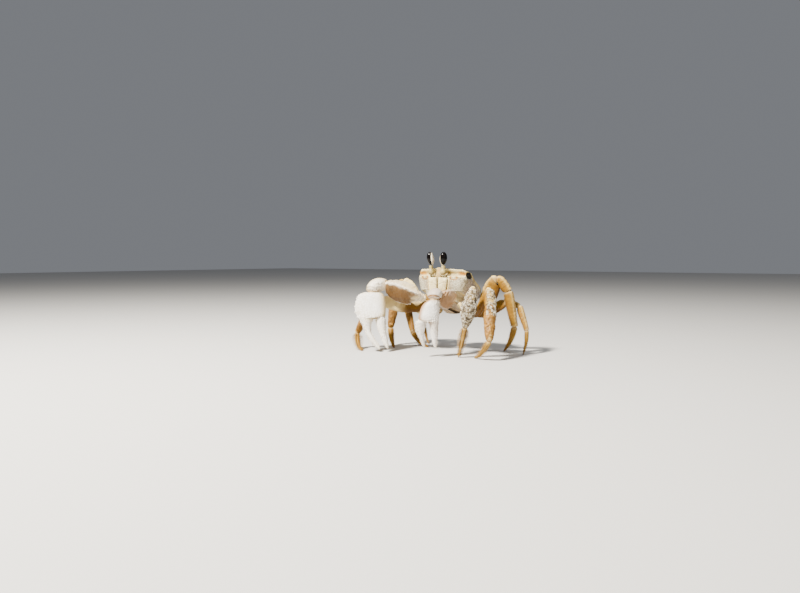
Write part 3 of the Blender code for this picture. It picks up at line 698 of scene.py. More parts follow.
def cornea_finish():
    """The eye's glossy black: very dark, with the faint cell pattern of a compound eye."""
    f = Finish("cornea_black", 0.14, 0.06, 0.10)
    f.shader.inputs["Coat Roughness"].default_value = 0.04
    mottle = f.group(MOTTLE, Clouds=260.0, Freckles=2000.0)
    cells = add_cells(f.tree, f.place, 9000.0)
    colour = f.mix(mottle["Clouds"], (0.0010, 0.0009, 0.0010), (0.0030, 0.0020, 0.0018))
    return f.close(colour, cells, 0.006)


def hair_finish(name, root, tip, sandy):
    """Bristles: darker at the root, paler at the tip, with sand caught on them."""
    f = Finish(name, 0.6)
    sand = f.group(SAND, Cover=sandy)
    mottle = f.group(MOTTLE, Clouds=300.0, Freckles=1200.0)
    colour = f.mix(f.mark("along"), root, tip)
    colour = f.stain(colour, mottle["Clouds"], 0.3, (0.16, 0.09, 0.03))
    colour = f.mix(sand["Share"], colour, sand["Color"])
    return f.close(colour, mottle["Freckles"], 0.02)


def grain_finish():
    """Loose sand grains: each takes its tone from its own mark."""
    f = Finish("sand_grains", 0.55)
    tone = f.mark("tone")
    colour = f.mix(add_range(f.tree, tone, 0.14, 0.36), (0.030, 0.020, 0.012), (0.28, 0.21, 0.12))
    colour = f.mix(add_range(f.tree, tone, 0.40, 0.70), colour, (0.76, 0.70, 0.55))
    mottle = f.group(MOTTLE, Clouds=900.0, Freckles=4000.0)
    colour = f.stain(colour, mottle["Freckles"], 0.25, (0.30, 0.22, 0.15))
    return f.close(colour, mottle["Clouds"], 0.02)


SHELL = shell_finish()
BELLY = plain_shell_finish("belly_plates", (0.34, 0.24, 0.13), (0.19, 0.13, 0.07))
MOUTH = plain_shell_finish("mouth_plates", (0.70, 0.60, 0.34), (0.46, 0.35, 0.15))
STALK = plain_shell_finish("eyestalk_shell", (0.46, 0.37, 0.14), (0.22, 0.165, 0.045))
FEELER = plain_shell_finish("feeler_shell", (0.50, 0.36, 0.13), (0.20, 0.12, 0.03))
EYE_STRIP = plain_shell_finish("eye_strip_shell", (0.78, 0.70, 0.56), (0.60, 0.50, 0.34))
CLAW_SKIN = plain_shell_finish("claw_skin", (0.74, 0.58, 0.36), (0.50, 0.33, 0.16))
SKIN = plain_shell_finish("joint_skin", (0.34, 0.19, 0.055), (0.20, 0.09, 0.02))
# brown tones: painted shade on the merus's inner face; the minor claw's dark tan serves as its pink near the
# joints and as painted shade over its merus
CLAW_MAJOR = claw_finish("claw_major", (0.70, 0.56, 0.30), (0.080, 0.032, 0.003))
CLAW_MINOR = claw_finish("claw_minor", (0.31, 0.165, 0.080), (0.16, 0.070, 0.015))
# upper tone: partly painted highlight; lower tone: partly painted shade
LEGS = leg_finish("leg_gold", (0.42, 0.25, 0.036), (0.25, 0.124, 0.011), (0.11, 0.047, 0.005))
CORNEA = cornea_finish()
BRISTLES = hair_finish("golden_bristles", (0.20, 0.09, 0.012), (0.46, 0.28, 0.07), 0.22)
FELT = hair_finish("sandy_felt", (0.10, 0.06, 0.025), (0.46, 0.37, 0.23), 0.50)
GOLD_FELT = hair_finish("golden_felt", (0.17, 0.070, 0.005), (0.38, 0.18, 0.015), 0.13)
SAND_GRAINS = grain_finish()


# ---------------------------------------------------------------- the body
def turned(left, back):
    """A plan offset from the body centre after the body is turned towards its right."""
    c, s = math.cos(BODY_TURN), math.sin(BODY_TURN)
    return left * c + back * s, back * c - left * s


def on_body(side, place):
    """A point given as out, forward, up that turns with the body."""
    out, forward, up = place
    left, back = turned(side * out, -forward - BODY_CENTRE[1])
    return np.array((BODY_CENTRE[0] + left, BODY_CENTRE[1] + back, up))


def body_to_world(x, forward, up):
    """Body measures (left, forward, up) raised at the nose, then turned in plan."""
    c, s = math.cos(NOSE_UP), math.sin(NOSE_UP)
    left, rear = turned(x, up * s - forward * c)
    z = BODY_CENTRE[2] + forward * s + up * c
    return np.stack(np.broadcast_arrays(BODY_CENTRE[0] + left, BODY_CENTRE[1] + rear, z), axis=-1)


def put_on_body(name, place, quads, finish, nodes=(), marks=None):
    """A piece whose points are given in body measures."""
    return put(name, body_to_world(*place.T), [quads], finish, nodes, marks)


def half_width(forward):
    """Full width up to the front third, then less by a power of the way to the rear."""
    t = held((FULL_WIDTH_TO - forward) / (FULL_WIDTH_TO - CARAPACE_REAR))
    return CARAPACE_HALF_WIDTH * (1.0 - 0.15 * t ** 2.2)


def side_profile(c):
    """How wide the body is at height c: full at the rim, rounded over it and below it."""
    above = held((c - WIDEST) / 0.28)
    below = held((WIDEST - c) / 1.72)
    return 1.0 - 0.05 * above ** 2 - 0.30 * below ** 2.2


def face_line(a, c):
    """How far forward the face stands: margin, orbits, cheeks and the drawn-in chin."""
    drop = held((0.95 - c) / 1.95)
    front = CARAPACE_FRONT - 8.6 * drop ** 1.35
    front = front + 1.5 * bell(a, 0.0, 0.10) * smooth((c - 0.1) / 0.5)
    front = front - 1.0 * bump(np.abs(a), 0.16, 0.98) * smooth((c - 0.5) / 0.4)
    orbit = smooth((np.abs(a) - 0.10) / 0.07) * smooth((0.97 - np.abs(a)) / 0.10)
    front = front - 2.9 * orbit * bump(c, 0.45, 1.0) ** 0.7
    return front - 2.2 * np.abs(a) ** 3


def rear_line(a, c):
    """How far back the body ends: a bulge in height, an undercut below, rounded corners."""
    drop = held((1.0 - c) / 2.0)
    return CARAPACE_REAR - 0.9 * bump(c, 0.0, 1.0) + 6.5 * drop ** 1.8 + 5.0 * np.abs(a) ** 6


def roof(a, b):
    """Height of the carapace's upper face: a low dome that falls towards the rear."""
    dome = 5.2 + (4.6 - 3.4 * smooth((b - 0.1) / 0.9)) * (1.0 - np.abs(a) ** 2.6)
    dome = dome - 2.4 * smooth((-b - 0.45) / 0.55) * (1.0 - 0.5 * np.abs(a))
    swell = 2.8 * np.exp(-(((b - 0.5) / 0.35) ** 2)) * np.abs(a) ** 4
    return dome + swell + 0.9 * smooth((b - 0.6) / 0.4) * np.abs(a) ** 2


def rounded_plan(a, b):
    """Draws the corners of the square -1..1 in towards a superellipse."""
    high = np.maximum(np.abs(a), np.abs(b))
    level = (np.abs(a) ** CORNER_POWER + np.abs(b) ** CORNER_POWER) ** (1.0 / CORNER_POWER)
    share = high / np.maximum(level, 1e-9)
    return a * share, b * share


def hull(a, b, c):
    """Carries the cube's point (a across, b along, c up) onto the body, each way by the
    straight share between its two limits: rear to face, floor to roof, middle to side."""
    a, b = rounded_plan(a, b)
    rear, front = rear_line(a, c), face_line(a, c)
    forward = rear + (front - rear) * (b + 1.0) / 2.0
    low = BODY_FLOOR + 1.6 * np.abs(a) ** 3
    up = low + (roof(a, b) - low) * (c + 1.0) / 2.0
    return a * half_width(forward) * side_profile(c), forward, up


def make_carapace():
    """The shell: the cube's skin carried by hull, then moved along its normals by
    - beads: bells in height times cosines of the place along each margin,
    - the orbit's floor and its lids: raised cosines over (a, c) on the face,
    - cheek rows: granules that grow towards the side, on the face and flanks,
    - the back's H-shaped groove: bells about two curved lines, and low granules."""
    points, quads = cube_skin(168, 108, 72)
    a, b, c = points.T
    high = PART_LINE + (1.0 - PART_LINE) * (c + 1.0) / 2.0
    place = np.stack(hull(a, b, high), axis=-1)
    normal = face_normals(place, quads)
    wide = np.abs(a)
    face = smooth((b - 0.80) / 0.18)
    top = smooth((high - 0.80) / 0.18)
    flank = smooth((wide - 0.86) / 0.12)
    rim = bell(high, 0.985, 0.05)
    # beads along the front margin above the orbits, and along the side margins
    beads = 0.5 + 0.5 * np.cos(2.0 * np.pi * a * CARAPACE_HALF_WIDTH / FRONT_BEADS)
    lift = 0.20 * face * rim * smooth((wide - 0.12) / 0.05) * (0.35 + 0.65 * beads)
    side_beads = 0.5 + 0.5 * np.cos(2.0 * np.pi * b * 19.0 / SIDE_BEADS)
    lift = lift + 0.22 * flank * bell(high, 0.80, 0.05) * (0.3 + 0.7 * side_beads) * smooth((b + 0.9) / 0.2)
    # the orbit: a raised, beaded lower lid
    orbit = smooth((wide - 0.14) / 0.06) * smooth((0.95 - wide) / 0.06)
    low_beads = 0.5 + 0.5 * np.cos(2.0 * np.pi * a * CARAPACE_HALF_WIDTH / LID_BEADS)
    lift = lift + face * orbit * bell(high, 0.44, 0.055) * (0.30 + 0.30 * low_beads)
    lift = lift - 0.45 * face * orbit * bump(high, 0.52, 0.95)
    # a rounded ridge each side of the mouth, with a furrow outside it
    lift = lift + 0.34 * face * bell(wide, 0.455, 0.022) * smooth((0.42 - high) / 0.1)
    lift = lift - 0.28 * face * bell(wide, 0.52, 0.035) * smooth((0.36 - high) / 0.2)
    # the side wall's long furrow under the margin, and a swelling below it
    lift = lift - 0.30 * flank * bell(high, 0.62, 0.07) + 0.25 * flank * bell(high, 0.35, 0.18)
    # the back: a groove each side of the heart and one across it, low swellings between
    bend = 0.30 + 0.12 * np.cos(2.6 * (b + 0.15))
    groove = bell(wide, bend, 0.035) * bump(b, -0.75, 0.55)
    cross = bell(b, -0.12 - 0.35 * (wide - 0.1) ** 2, 0.035) * smooth((0.42 - wide) / 0.2)
    second = bell(wide, 0.62 + 0.18 * b, 0.04) * bump(b, -0.3, 0.6)
    lift = lift - top * (0.30 * groove + 0.12 * cross + 0.14 * second)
    lift = lift + top * 0.16 * noise(place, 5.0, 3)
    # granules: coarse on cheeks and flanks, finer and lower on the back
    coarse = granules(place, 0.95, 11, 0.54)
    fine = granules(place, 0.70, 17, 0.60)
    rows = 0.5 + 0.5 * np.cos(2.0 * np.pi * (high * 3.6 + 0.9 * wide))
    cheek = face * smooth((wide - 0.44) / 0.06) * smooth((0.40 - high) / 0.08)
    cheek = np.maximum(cheek, flank * smooth((0.76 - high) / 0.06))
    lift = lift + 0.30 * coarse * cheek * (0.45 + 0.55 * rows) + 0.12 * fine * (1.0 - 0.6 * cheek)
    lift = lift + 0.20 * coarse * top * flank
    ahead, above = (place[:, 1] - SPOT_PLACE) / SPOT_SIZES[0], (high - SPOT_HEIGHT) / SPOT_SIZES[1]
    spot = np.sqrt(ahead ** 2 + above ** 2) + 0.10 * noise(place, 1.4, 21)
    spot = smooth((1.12 - spot) / 0.28) * smooth((wide - 0.90) / 0.06) * smooth((0.97 - b) / 0.06)
    lift = lift - 0.5 * spot
    edge = np.maximum(np.maximum(wide, np.abs(b)), np.abs(c))
    keep = np.where((c < -0.96) & (edge > 0.99), 0.3, 1.0)
    place = place + normal * ((lift - 0.22) * keep)[:, None]
    lip = face * smooth((high - 0.86) / 0.05) * smooth((wide - 0.14) / 0.08) * smooth((1.02 - wide) / 0.06)
    ring = np.hypot((wide - 0.60) / 0.15, (high - 0.38) / 0.16)
    stripes = 0.45 + 0.35 * np.cos(high * 48.0)
    marks = {
        "cream": held(lip
                      + 0.9 * face * bump(high, 0.30, 0.80) * smooth((wide - 0.12) / 0.08)
                      + 0.7 * face * bump(wide, 0.08, 0.56) * smooth((0.5 - high) / 0.1)
                      + 0.8 * face * smooth(1.0 - ring * 2.2)),
        # orange-tan, partly the shell's own colour and partly painted shade in the orbits and beside the
        # mouth
        "amber": held(face * smooth((wide - 0.55) / 0.25) * bump(high, 0.62, 0.98) * 1.2
                      + 0.25 * face * smooth((0.6 - wide) / 0.2) * bump(high, 0.66, 0.94)
                      + 1.0 * face * bell(ring, 0.85, 0.30)
                      + 0.50 * face * bell(wide, 0.0, 0.07) * smooth((high - 0.2) / 0.3)
                      + 0.55 * face * bell(wide, 0.45, 0.03) * smooth((0.30 - high) / 0.2)
                      + 0.30 * bell(np.abs(wide - 0.56), 0.0, 0.04) * face * smooth((0.2 - high) / 0.3)),
        "cheek": held(cheek),
        # painted shade over the lower flanks towards the rear and low on the rear wall
        "flank_shade": held(0.8 * flank * smooth((0.66 - high) / 0.2) * smooth((0.86 - b) / 0.3)
                      + 0.5 * smooth((-b - 0.75) / 0.2) * smooth((0.6 - high) / 0.3)),
        "spot": spot,
        "dusty": held(0.65 * face * (1.0 - orbit) * smooth((0.5 - high) / 0.3)
                      + 0.35 * flank + 0.2),
        # painted shade between the cheek granules, in the back's grooves, over the orbit floor, under the lid
        # and in the furrows by the mouth
        "shade_and_seams": held((1.0 - coarse * 1.6) * cheek * 0.68
                       + top * (0.7 * groove + 0.25 * cross + 0.4 * second) * 0.5
                       + face * orbit * bump(high, 0.50, 0.94) * smooth((0.66 - wide) / 0.15) * stripes
                       + 0.55 * face * bell(high, 0.50, 0.035) * smooth((wide - 0.2) / 0.1)
                       + 0.35 * face * held(0.45 - fine) * smooth((0.5 - high) / 0.1)
                       + face * bell(wide, 0.52, 0.03) * smooth((0.36 - high) / 0.2) * 0.25),
    }
    put_on_body("carapace_shell", place, quads, SHELL, ["carapace"], marks)


def make_inner_skin():
    """The soft skin under the plates: the cube's skin carried by hull after its three
    measures are drawn in, so that it closes every seam between plates from inside."""
    points, quads = cube_skin(40, 40, 24)
    a, b, c = points.T
    x, forward, up = hull(0.86 * a, 0.90 * b, 0.88 * c - 0.04)
    place = np.stack([x * (1.0 - 0.12 * smooth((PART_LINE + 0.1 - c) / 0.2)), forward, up], axis=-1)
    place = place + 0.10 * face_normals(place, quads) * noise(place, 1.6, 27)[:, None]
    put_on_body("body_skin", place, quads, BELLY, (), {"pale": np.full(len(a), 0.85)})


def make_sternum():
    """The breastplate: the cube's skin carried by hull, narrowed, with its keel, then carved
    by bells about the lines where its segments meet."""
    points, quads = cube_skin(64, 64, 14)
    a, b, c = points.T
    top = PART_LINE - 2.0 * GAP / 23.0
    high = -1.0 + (top + 1.0) * (c + 1.0) / 2.0
    narrow = 0.74 - 0.10 * smooth((b + 0.2) / 1.0)
    x, forward, up = hull(a * narrow, b, high)
    keel = (1.0 - a * a) * (1.0 - 0.6 * b * b) * smooth((-0.6 - high) / 0.4)
    place = np.stack([x, forward, up - 1.3 * keel], axis=-1)
    normal = face_normals(place, quads)
    seams = sum(bell(b, m - 0.10 * a * a, 0.022) for m in STERNUM_SEAMS)
    under = smooth((-0.8 - high) / 0.15)
    lift = -0.42 * seams * under * smooth((np.abs(a) - 0.16) / 0.1) - 0.30 * under * bell(a, 0.0, 0.03)
    lift = lift + 0.14 * granules(place, 0.9, 23, 0.55) - 0.10
    pale = 0.95 * smooth((high + 0.92) / 0.25) * smooth((b + 0.2) / 0.6)
    marks = {"pale": pale, "shade_and_seams": 0.6 * seams * under}
    put_on_body("sternum_plate", place + normal * lift[:, None], quads, BELLY, ["sternum"], marks)


def make_abdomen():
    """The tail flap folded under: ovals along a route down the rear wall, round the edge and
    forward below, with a step at each of its segments."""
    route = np.array(FLAP_ROUTE)
    far = lengths_along(route)
    run = np.linspace(0.0, far[-1], 110)
    line = read_off(run, far, route)
    padded = np.pad(line, ((4, 4), (0, 0)), mode="edge")
    line = sum(padded[k:k + 110] for k in range(9)) / 9.0
    ahead = unit(np.gradient(line, axis=0))
    away = np.stack([-ahead[:, 1], ahead[:, 0]], axis=1)
    away = away * np.sign((away * line).sum(axis=1, keepdims=True))
    wide = curve(far, FLAP_WIDTHS, run)
    turns = ring_angles(48)
    steps = run / far[-1] * FLAP_SEGMENTS
    ledge = 0.16 * (steps % 1.0) - 0.08
    thick = 0.55 * np.sqrt(np.clip(1.0 - np.abs(2.0 * run / far[-1] - 1.0) ** 30, 0.05, 1.0)) + ledge
    across = (wide - 0.15 - 0.12 * bell((steps % 1.0), 0.0, 0.08))[:, None] * np.cos(turns)
    lift = 1.1 + thick[:, None] * np.sin(turns)
    spot = line[:, None, :] + away[:, None, :] * lift[..., None]
    grid = body_to_world(across, spot[..., 0], spot[..., 1])
    put_rings("abdomen_flap", grid, BELLY, ["abdomen"])


def make_maxilliped(side, word):
    """A mouth plate: a cushion of the cube's skin laid on the face, with its joint line
    across, a furrow down its length and low grains."""
    points, quads = cube_skin(36, 10, 72)
    p, q, r = points.T
    a = side * (0.21 + 0.185 * p * np.sqrt(held(1.0 - 0.18 * r * r)))
    c = -0.28 + 0.60 * r + 0.07 * (1.0 - r) * 0.5 * (1.0 - p * p)
    edge = np.maximum(np.abs(p), np.abs(r))
    thick = 0.7 + 1.1 * (1.0 - edge ** 4)
    x, forward, up = hull(a, np.ones_like(a), c)
    place = np.stack([x, forward + 0.45 + thick * (q + 1.0) / 2.0, up], axis=-1)
    normal = face_normals(place, quads)
    front = smooth((q - 0.5) / 0.4)
    joint = bell(r, 0.30 + 0.16 * p, 0.030)
    furrow = bell(p, 0.35 + 0.2 * r, 0.10) * smooth((0.2 - r) / 0.2)
    lift = front * (-0.40 * joint - 0.30 * furrow + 0.12 * bell(p, -0.25, 0.3))
    lift = lift + 0.14 * front * granules(place, 0.62, 31 + side, 0.55) - 0.10
    # painted shade in the joint line, the furrow and along the inner edge
    marks = {"shade_and_seams": held(front * (0.8 * joint + 0.5 * furrow) + bell(p, -1.0, 0.08) * 0.6)}
    lifted = place + normal * lift[:, None]
    put_on_body("mouth_plate_" + word, lifted, quads, MOUTH, ["maxilliped_" + word], marks)


def ovoid(level):
    """Radius share of the cornea's egg at this share of its height, fuller near the top."""
    return np.sqrt(held(1.0 - (2.0 * level - 1.0) ** 2)) * (0.93 + 0.12 * level)


def make_eye(side, word):
    """The stalk is rings about a leaning axis, with a knob at its foot and a strip that runs
    up inside the eye.  The cornea is an egg cut back on that side by a tanh, so that its edge
    rolls in."""
    base = on_body(side, EYE_PLACE)
    inner = unit(np.array(EYE_INNER[side]))
    ahead = np.array((-inner[1], inner[0], 0.0))

    def axis_points(height):
        """Points of the axis, which leans in a straight line with height."""
        lean = side * EYE_LEANS[side] * np.maximum(0.0, (height - base[2]) / (EYE_TOP - base[2]))
        return np.stack([base[0] + lean, np.full_like(lean, base[1]), height], axis=-1)

    def about(middle, inward, aside):
        """Rings about the axis: each point is offset inward and aside from its middle."""
        return middle[:, None, :] + inward[..., None] * inner + aside[..., None] * ahead

    turns = ring_angles(56)
    tall = EYE_TOP - CORNEA_BOTTOM
    cut = CORNEA_RADIUS * math.cos(EYE_CUT)
    low = np.linspace(-2.5, 4.6, 60)
    knob = (-2.5, -1.9, -0.6, 0.8, 2.0, 3.0, 4.0, 4.6), (0.7, 1.75, 2.48, 2.36, 1.72, 1.40, 1.42, 1.6)
    radius = curve(*knob, low)
    radius = radius - 0.10 * bell(low, 2.3, 0.25) + 0.05 * bell(low, 1.5, 0.3)
    rings = axis_points(base[2] + low)[:, None, :] + radius[:, None, None] * circle(turns, inner, ahead)
    # darker over the knob's lower half, and painted shade in the groove above it
    knob_darkening = 0.75 * smooth((0.6 - low) / 1.4) * smooth((low + 2.6) / 0.8) + 0.5 * bell(low, 2.3, 0.35)
    marks = {"shade_and_seams": knob_darkening[:, None] * (0.75 + 0.35 * noise(rings, 1.1, 35))}
    put_rings("eyestalk_knob_" + word, rings, STALK, ["eyestalk_" + word], marks)
    level = (1.0 - np.cos(np.linspace(0.10, math.pi - 0.12, 72))) / 2.0
    egg = CORNEA_RADIUS * ovoid(level)
    middle = axis_points(CORNEA_BOTTOM - 0.15 + tall * 0.975 * level)
    # the strip: a half-round bar up the inner side, as wide as the egg allows
    half = np.minimum(egg * 0.86, 2.32)
    depth = np.maximum(egg, cut + 0.55) - cut - 0.10
    offset = cut + 0.05 + depth[:, None] * np.clip(np.cos(turns), -0.15, 1.0)
    put_rings("eye_strip_" + word, about(middle, offset, half[:, None] * np.sin(turns)), EYE_STRIP)
    level = (1.0 - np.cos(np.linspace(0.06, math.pi - 0.06, 84))) / 2.0
    egg = CORNEA_RADIUS * ovoid(level)
    middle = axis_points(CORNEA_BOTTOM + GAP + tall * level)
    limit = cut - 0.05
    inward = egg[:, None] * np.cos(turns)
    inward = limit - 0.30 * np.logaddexp(0.0, (limit - inward) / 0.30)
    globe = about(middle, inward, egg[:, None] * np.sin(turns))
    put_rings("cornea_globe_" + word, globe, CORNEA, ["cornea_" + word])


def make_feeler(name, side, stops, radii, beads):
    """A feeler: rings about a curved line over the face, their radius a curve of the way along
    it with a swelling at every joint, ending in a fine lash of many short rings."""
    far, wide, high, ahead = np.array(stops).T
    t = np.linspace(0.0, 1.0, 90)
    a, c, out = curve(far, wide, t), curve(far, high, t), curve(far, ahead, t)
    x, forward, up = hull(side * a, np.ones_like(a), c)
    line = body_to_world(x, forward + out, up)
    along = unit(np.gradient(line, axis=0))
    across = unit(np.cross(along, np.array((0.0, 0.0, 1.0))))
    other = np.cross(along, across)
    turns = ring_angles(20)
    joints = sum(bell(t, m, 0.016) for m in (0.16, 0.30, 0.42))
    radius = curve((0.0, 0.04, 0.14, 0.28, 0.40, 0.46, 0.98, 1.0), radii, t) * (1.0 + 0.16 * joints)
    radius = radius * (1.0 + 0.10 * np.cos(t * beads) * smooth((t - 0.44) / 0.04))
    ring = circle(turns, across[:, None], other[:, None])
    marks = {"shade_and_seams": (0.8 * joints)[:, None]}
    put_rings(name, line[:, None] + radius[:, None, None] * ring, FEELER, (), marks)


# ---------------------------------------------------------------- limbs
def world(side, place):
    """A point given as out, forward, up, on its side of the crab."""
    out, forward, up = place
    return np.array((side * out, -forward, up), float)


def heading_vector(side, heading, rise):
    """The direction of a heading from straight out, forward being positive, and a rise."""
    h, r = math.radians(heading), math.radians(rise)
    return np.array((side * math.cos(r) * math.cos(h), -math.cos(r) * math.sin(h), math.sin(r)))


def even(table):
    """Each row becomes the mean of the rows about it, with the end rows repeated."""
    half = EVEN_ROWS // 2
    padded = np.pad(table, ((half, half), (0, 0)), mode="edge")
    sums = np.cumsum(np.vstack([np.zeros(table.shape[1]), padded]), axis=0)
    return (sums[EVEN_ROWS:] - sums[:-EVEN_ROWS]) / EVEN_ROWS


def draw_in(offsets, bend):
    """Draws points in on the inner side of a bend by a tanh, so that rings never cross."""
    lean = (offsets * bend).sum(axis=-1, keepdims=True)
    kept = np.where(lean > 0.0, INNER_LIMIT * np.tanh(lean / INNER_LIMIT), lean)
    return offsets - (lean - kept) * bend / np.maximum((bend * bend).sum(axis=-1, keepdims=True), 1e-9)


class BentPath:
    """Straight lengths joined by arcs, and a curved tail, which can be asked for any points."""

    def __init__(self, points, radii, tail=()):
        points = np.asarray(points, float)
        steps = unit(np.diff(points, axis=0))
        lengths = np.linalg.norm(np.diff(points, axis=0), axis=1)
        dense = [points[:1]]
        middles = []
        count = 1
        for k, radius in enumerate(radii):
            before, after = steps[k], steps[k + 1]
            turn = math.acos(max(-1.0, min(1.0, float(before @ after))))
            half = math.tan(turn / 2.0)
            reach = min(radius * half, 0.62 * lengths[k], 0.62 * lengths[k + 1])
            angle = np.linspace(0.0, turn, 41)[:, None]
            inward = unit(after - before * math.cos(turn))
            bow = before * np.sin(angle) + inward * (1.0 - np.cos(angle))
            dense.append(points[k + 1] - before * reach + bow * reach / half)
            middles.append(count + 20)
            count += 41
        middles.append(count)
        dense.append(points[-1:])
        if len(tail):
            dense.append(tail)
        dense = np.vstack(dense)
        far = lengths_along(dense)
        self.joints = [far[m] for m in middles]
        self.length = far[-1]
        self.run = np.linspace(0.0, self.length, int(self.length / PATH_STEP))
        self.points = read_off(self.run, far, dense)
        self.slopes = even(unit(np.gradient(self.points, self.run, axis=0)))
        self.bends = np.gradient(self.slopes, self.run, axis=0)

    def at(self, distance):
        """Places, directions and bends (towards each bend's centre, 1 / radius long)."""
        tables = (self.points, self.slopes, self.bends)
        place, slope, bend = (read_off(distance, self.run, table) for table in tables)
        return place, unit(slope), bend


def rounded(share, end_low, end_high, length, blunt_low, blunt_high):
    """Closing factor of a tube: a quarter circle over the first and last millimetres."""
    near = held(share * length / blunt_low)
    far = held((1.0 - share) * length / blunt_high)
    low = end_low + (1.0 - end_low) * np.sqrt(1.0 - (1.0 - near) ** 2)
    high = end_high + (1.0 - end_high) * np.sqrt(1.0 - (1.0 - far) ** 2)
    return low * high


def limb_grid(path, start, end, profile, flat_axis, section, rows, ends=(0.55, 0.55, 1.0, 1.0)):
    """The surface of one limb piece: rings of the section across the path, as deep and thick
    as the profile at each share of the way.  Returns the grid and the share."""
    share = 0.5 * (1.0 - np.cos(np.linspace(0.0, np.pi, rows)))
    share = 0.6 * share + 0.4 * np.linspace(0.0, 1.0, rows)
    place, slope, bend = path.at(start + (end - start) * share)
    side = unit(flat_axis - slope * (slope @ flat_axis)[:, None])
    rise = np.cross(side, slope)
    close = rounded(share, ends[0], ends[1], end - start, ends[2], ends[3])
    depth = curve(profile[0], profile[1], share) * close
    thick = curve(profile[0], profile[2], share) * close
    up, out = section
    raised = (depth[:, None] * up)[..., None] * rise[:, None]
    offsets = raised + (thick[:, None] * out)[..., None] * side[:, None]
    return place[:, None] + draw_in(offsets, bend[:, None]), share


def oval(turns, squareness=2.3):
    """A superellipse: cosine and sine, each to the power of 2 over the squareness."""
    power = 2.0 / squareness
    up = np.sign(np.cos(turns)) * np.abs(np.cos(turns)) ** power
    out = np.sign(np.sin(turns)) * np.abs(np.sin(turns)) ** power
    return up, out


def even_oval(count, squareness=2.3, flatness=1.0):
    """Ring angles spaced evenly by length on an oval of the given flatness."""
    dense = np.linspace(0.0, 2.0 * np.pi, 1441)
    up, out = oval(dense, squareness)
    far = np.concatenate([[0.0], np.cumsum(np.hypot(np.diff(up) * flatness, np.diff(out)))])
    return np.interp(np.linspace(0.0, far[-1], count, endpoint=False), far, dense)


def sized(profile, depth, thickness):
    """A profile whose shares are carried to millimetres by the depth and thickness."""
    stations, depths, thicks = (np.array(row, float) for row in profile)
    return stations, depths * depth / 2.0, thicks * thickness / 2.0


def add_sleeve(name, path, middle, reach, fit, flat_axis, section, rows, end, folds, finish):
    """The soft skin between two pieces: a short sleeve inside both their ends, drawn in about
    its middle line by 1 - deep (0.5 + 0.5 cos(2 pi many share)) for that many folds."""
    ends = (end, end, 0.5, 0.5)
    grid, share = limb_grid(path, middle - reach, middle + reach, fit, flat_axis, section, rows, ends)
    centre = grid.mean(axis=1, keepdims=True)
    deep, many = folds
    drawn = 1.0 - deep * (0.5 + 0.5 * np.cos(share * 2.0 * np.pi * many))
    put_rings(name, centre + (grid - centre) * drawn[:, None, None], finish)


def put_hairs(name, roots, ways, lengths, width, finish, bend, seed, rows, lines, sides=3, rings=4):
    """Many hairs in one mesh: each is a three-sided spike of a few rings that leaves its root
    along its way and curves towards the bend direction by the square of the share of its
    length; its width falls as 1 - share^2.  Each hair's map patch is 0.003 across at the
    place that its root has on an unwrap of the limb: its row (share along) and line (round)."""
    roots, ways = np.asarray(roots), unit(ways)
    count = len(roots)
    chance = chances(count, (0.37, 0.11), seed, 4)
    t = np.linspace(0.0, 1.0, rings)
    tilted = np.array((0.31, 0.22, 0.93)) + 0.2 * (np.stack(chance[:3], axis=-1) - 0.5)
    side = unit(np.cross(ways, tilted))
    other = np.cross(ways, side)
    curl = bend + 0.35 * ((chance[0] - 0.5)[:, None] * side + (chance[1] - 0.5)[:, None] * other)
    long = lengths * (0.75 + 0.5 * chance[2])
    bowed = t[None, :, None] * ways[:, None] + (t ** 2)[None, :, None] * curl[:, None]
    spine = roots[:, None] + long[:, None, None] * bowed
    girth = (width * (0.8 + 0.4 * chance[3]))[:, None] * (1.0 - 0.85 * t ** 2)[None, :]
    turns = np.arange(sides) * 2.0 * np.pi / sides
    across = circle(turns, side[:, None], other[:, None])
    skin = spine[:, :, None] + girth[..., None, None] * across[:, None]
    body = skin.reshape(count, rings * sides, 3)
    tips = spine[:, -1] + 0.25 * girth[:, -1:] * ways
    points = np.concatenate([body, roots[:, None], tips[:, None]], axis=1).reshape(-1, 3)
    per = rings * sides + 2
    base = (np.arange(count) * per)[:, None, None]
    faces = [(part + base).reshape(-1, part.shape[1]) for part in ring_faces(rings, sides)]
    along = np.concatenate([np.repeat(t, sides), [0.0, 1.0]])
    spread = np.arange(per) * 2.4
    local = np.stack([np.cos(spread), np.sin(spread)], axis=-1) * 0.0015
    patches = np.clip(np.stack([rows, lines % 1.0], axis=-1), 0.01, 0.99)
    seams = (patches[:, None] + local[None]).reshape(-1, 2)
    return put(name, points, faces, finish, marks={"along": np.tile(along, count)}, seams=seams)


def scattered(count, seed):
    """Two fixed scattered numbers from 0 to 1 for each of count places: the steps of the
    plastic ratio, which fill a square evenly."""
    k = np.arange(count) + 0.5 + seed * 7.31
    return (k * 0.7548776662) % 1.0, (k * 0.5698402910) % 1.0


def surface_spots(grid, normals, share_rows, share_turns):
    """Places and normals on a grid at fractional rows and columns, mixed from the corners."""
    rows, cols = grid.shape[:2]
    r = held(share_rows) * (rows - 1.001)
    t = (share_turns % 1.0) * cols
    i, j = r.astype(int), t.astype(int) % cols
    u, v = (r - i)[:, None], (t - t.astype(int))[:, None]
    n = (j + 1) % cols

    def blend(table):
        """The table's four corner values mixed by the two fractions."""
        return (table[i, j] * (1 - u) * (1 - v) + table[i + 1, j] * u * (1 - v)
                + table[i, n] * (1 - u) * v + table[i + 1, n] * u * v)

    return blend(grid), unit(blend(normals))


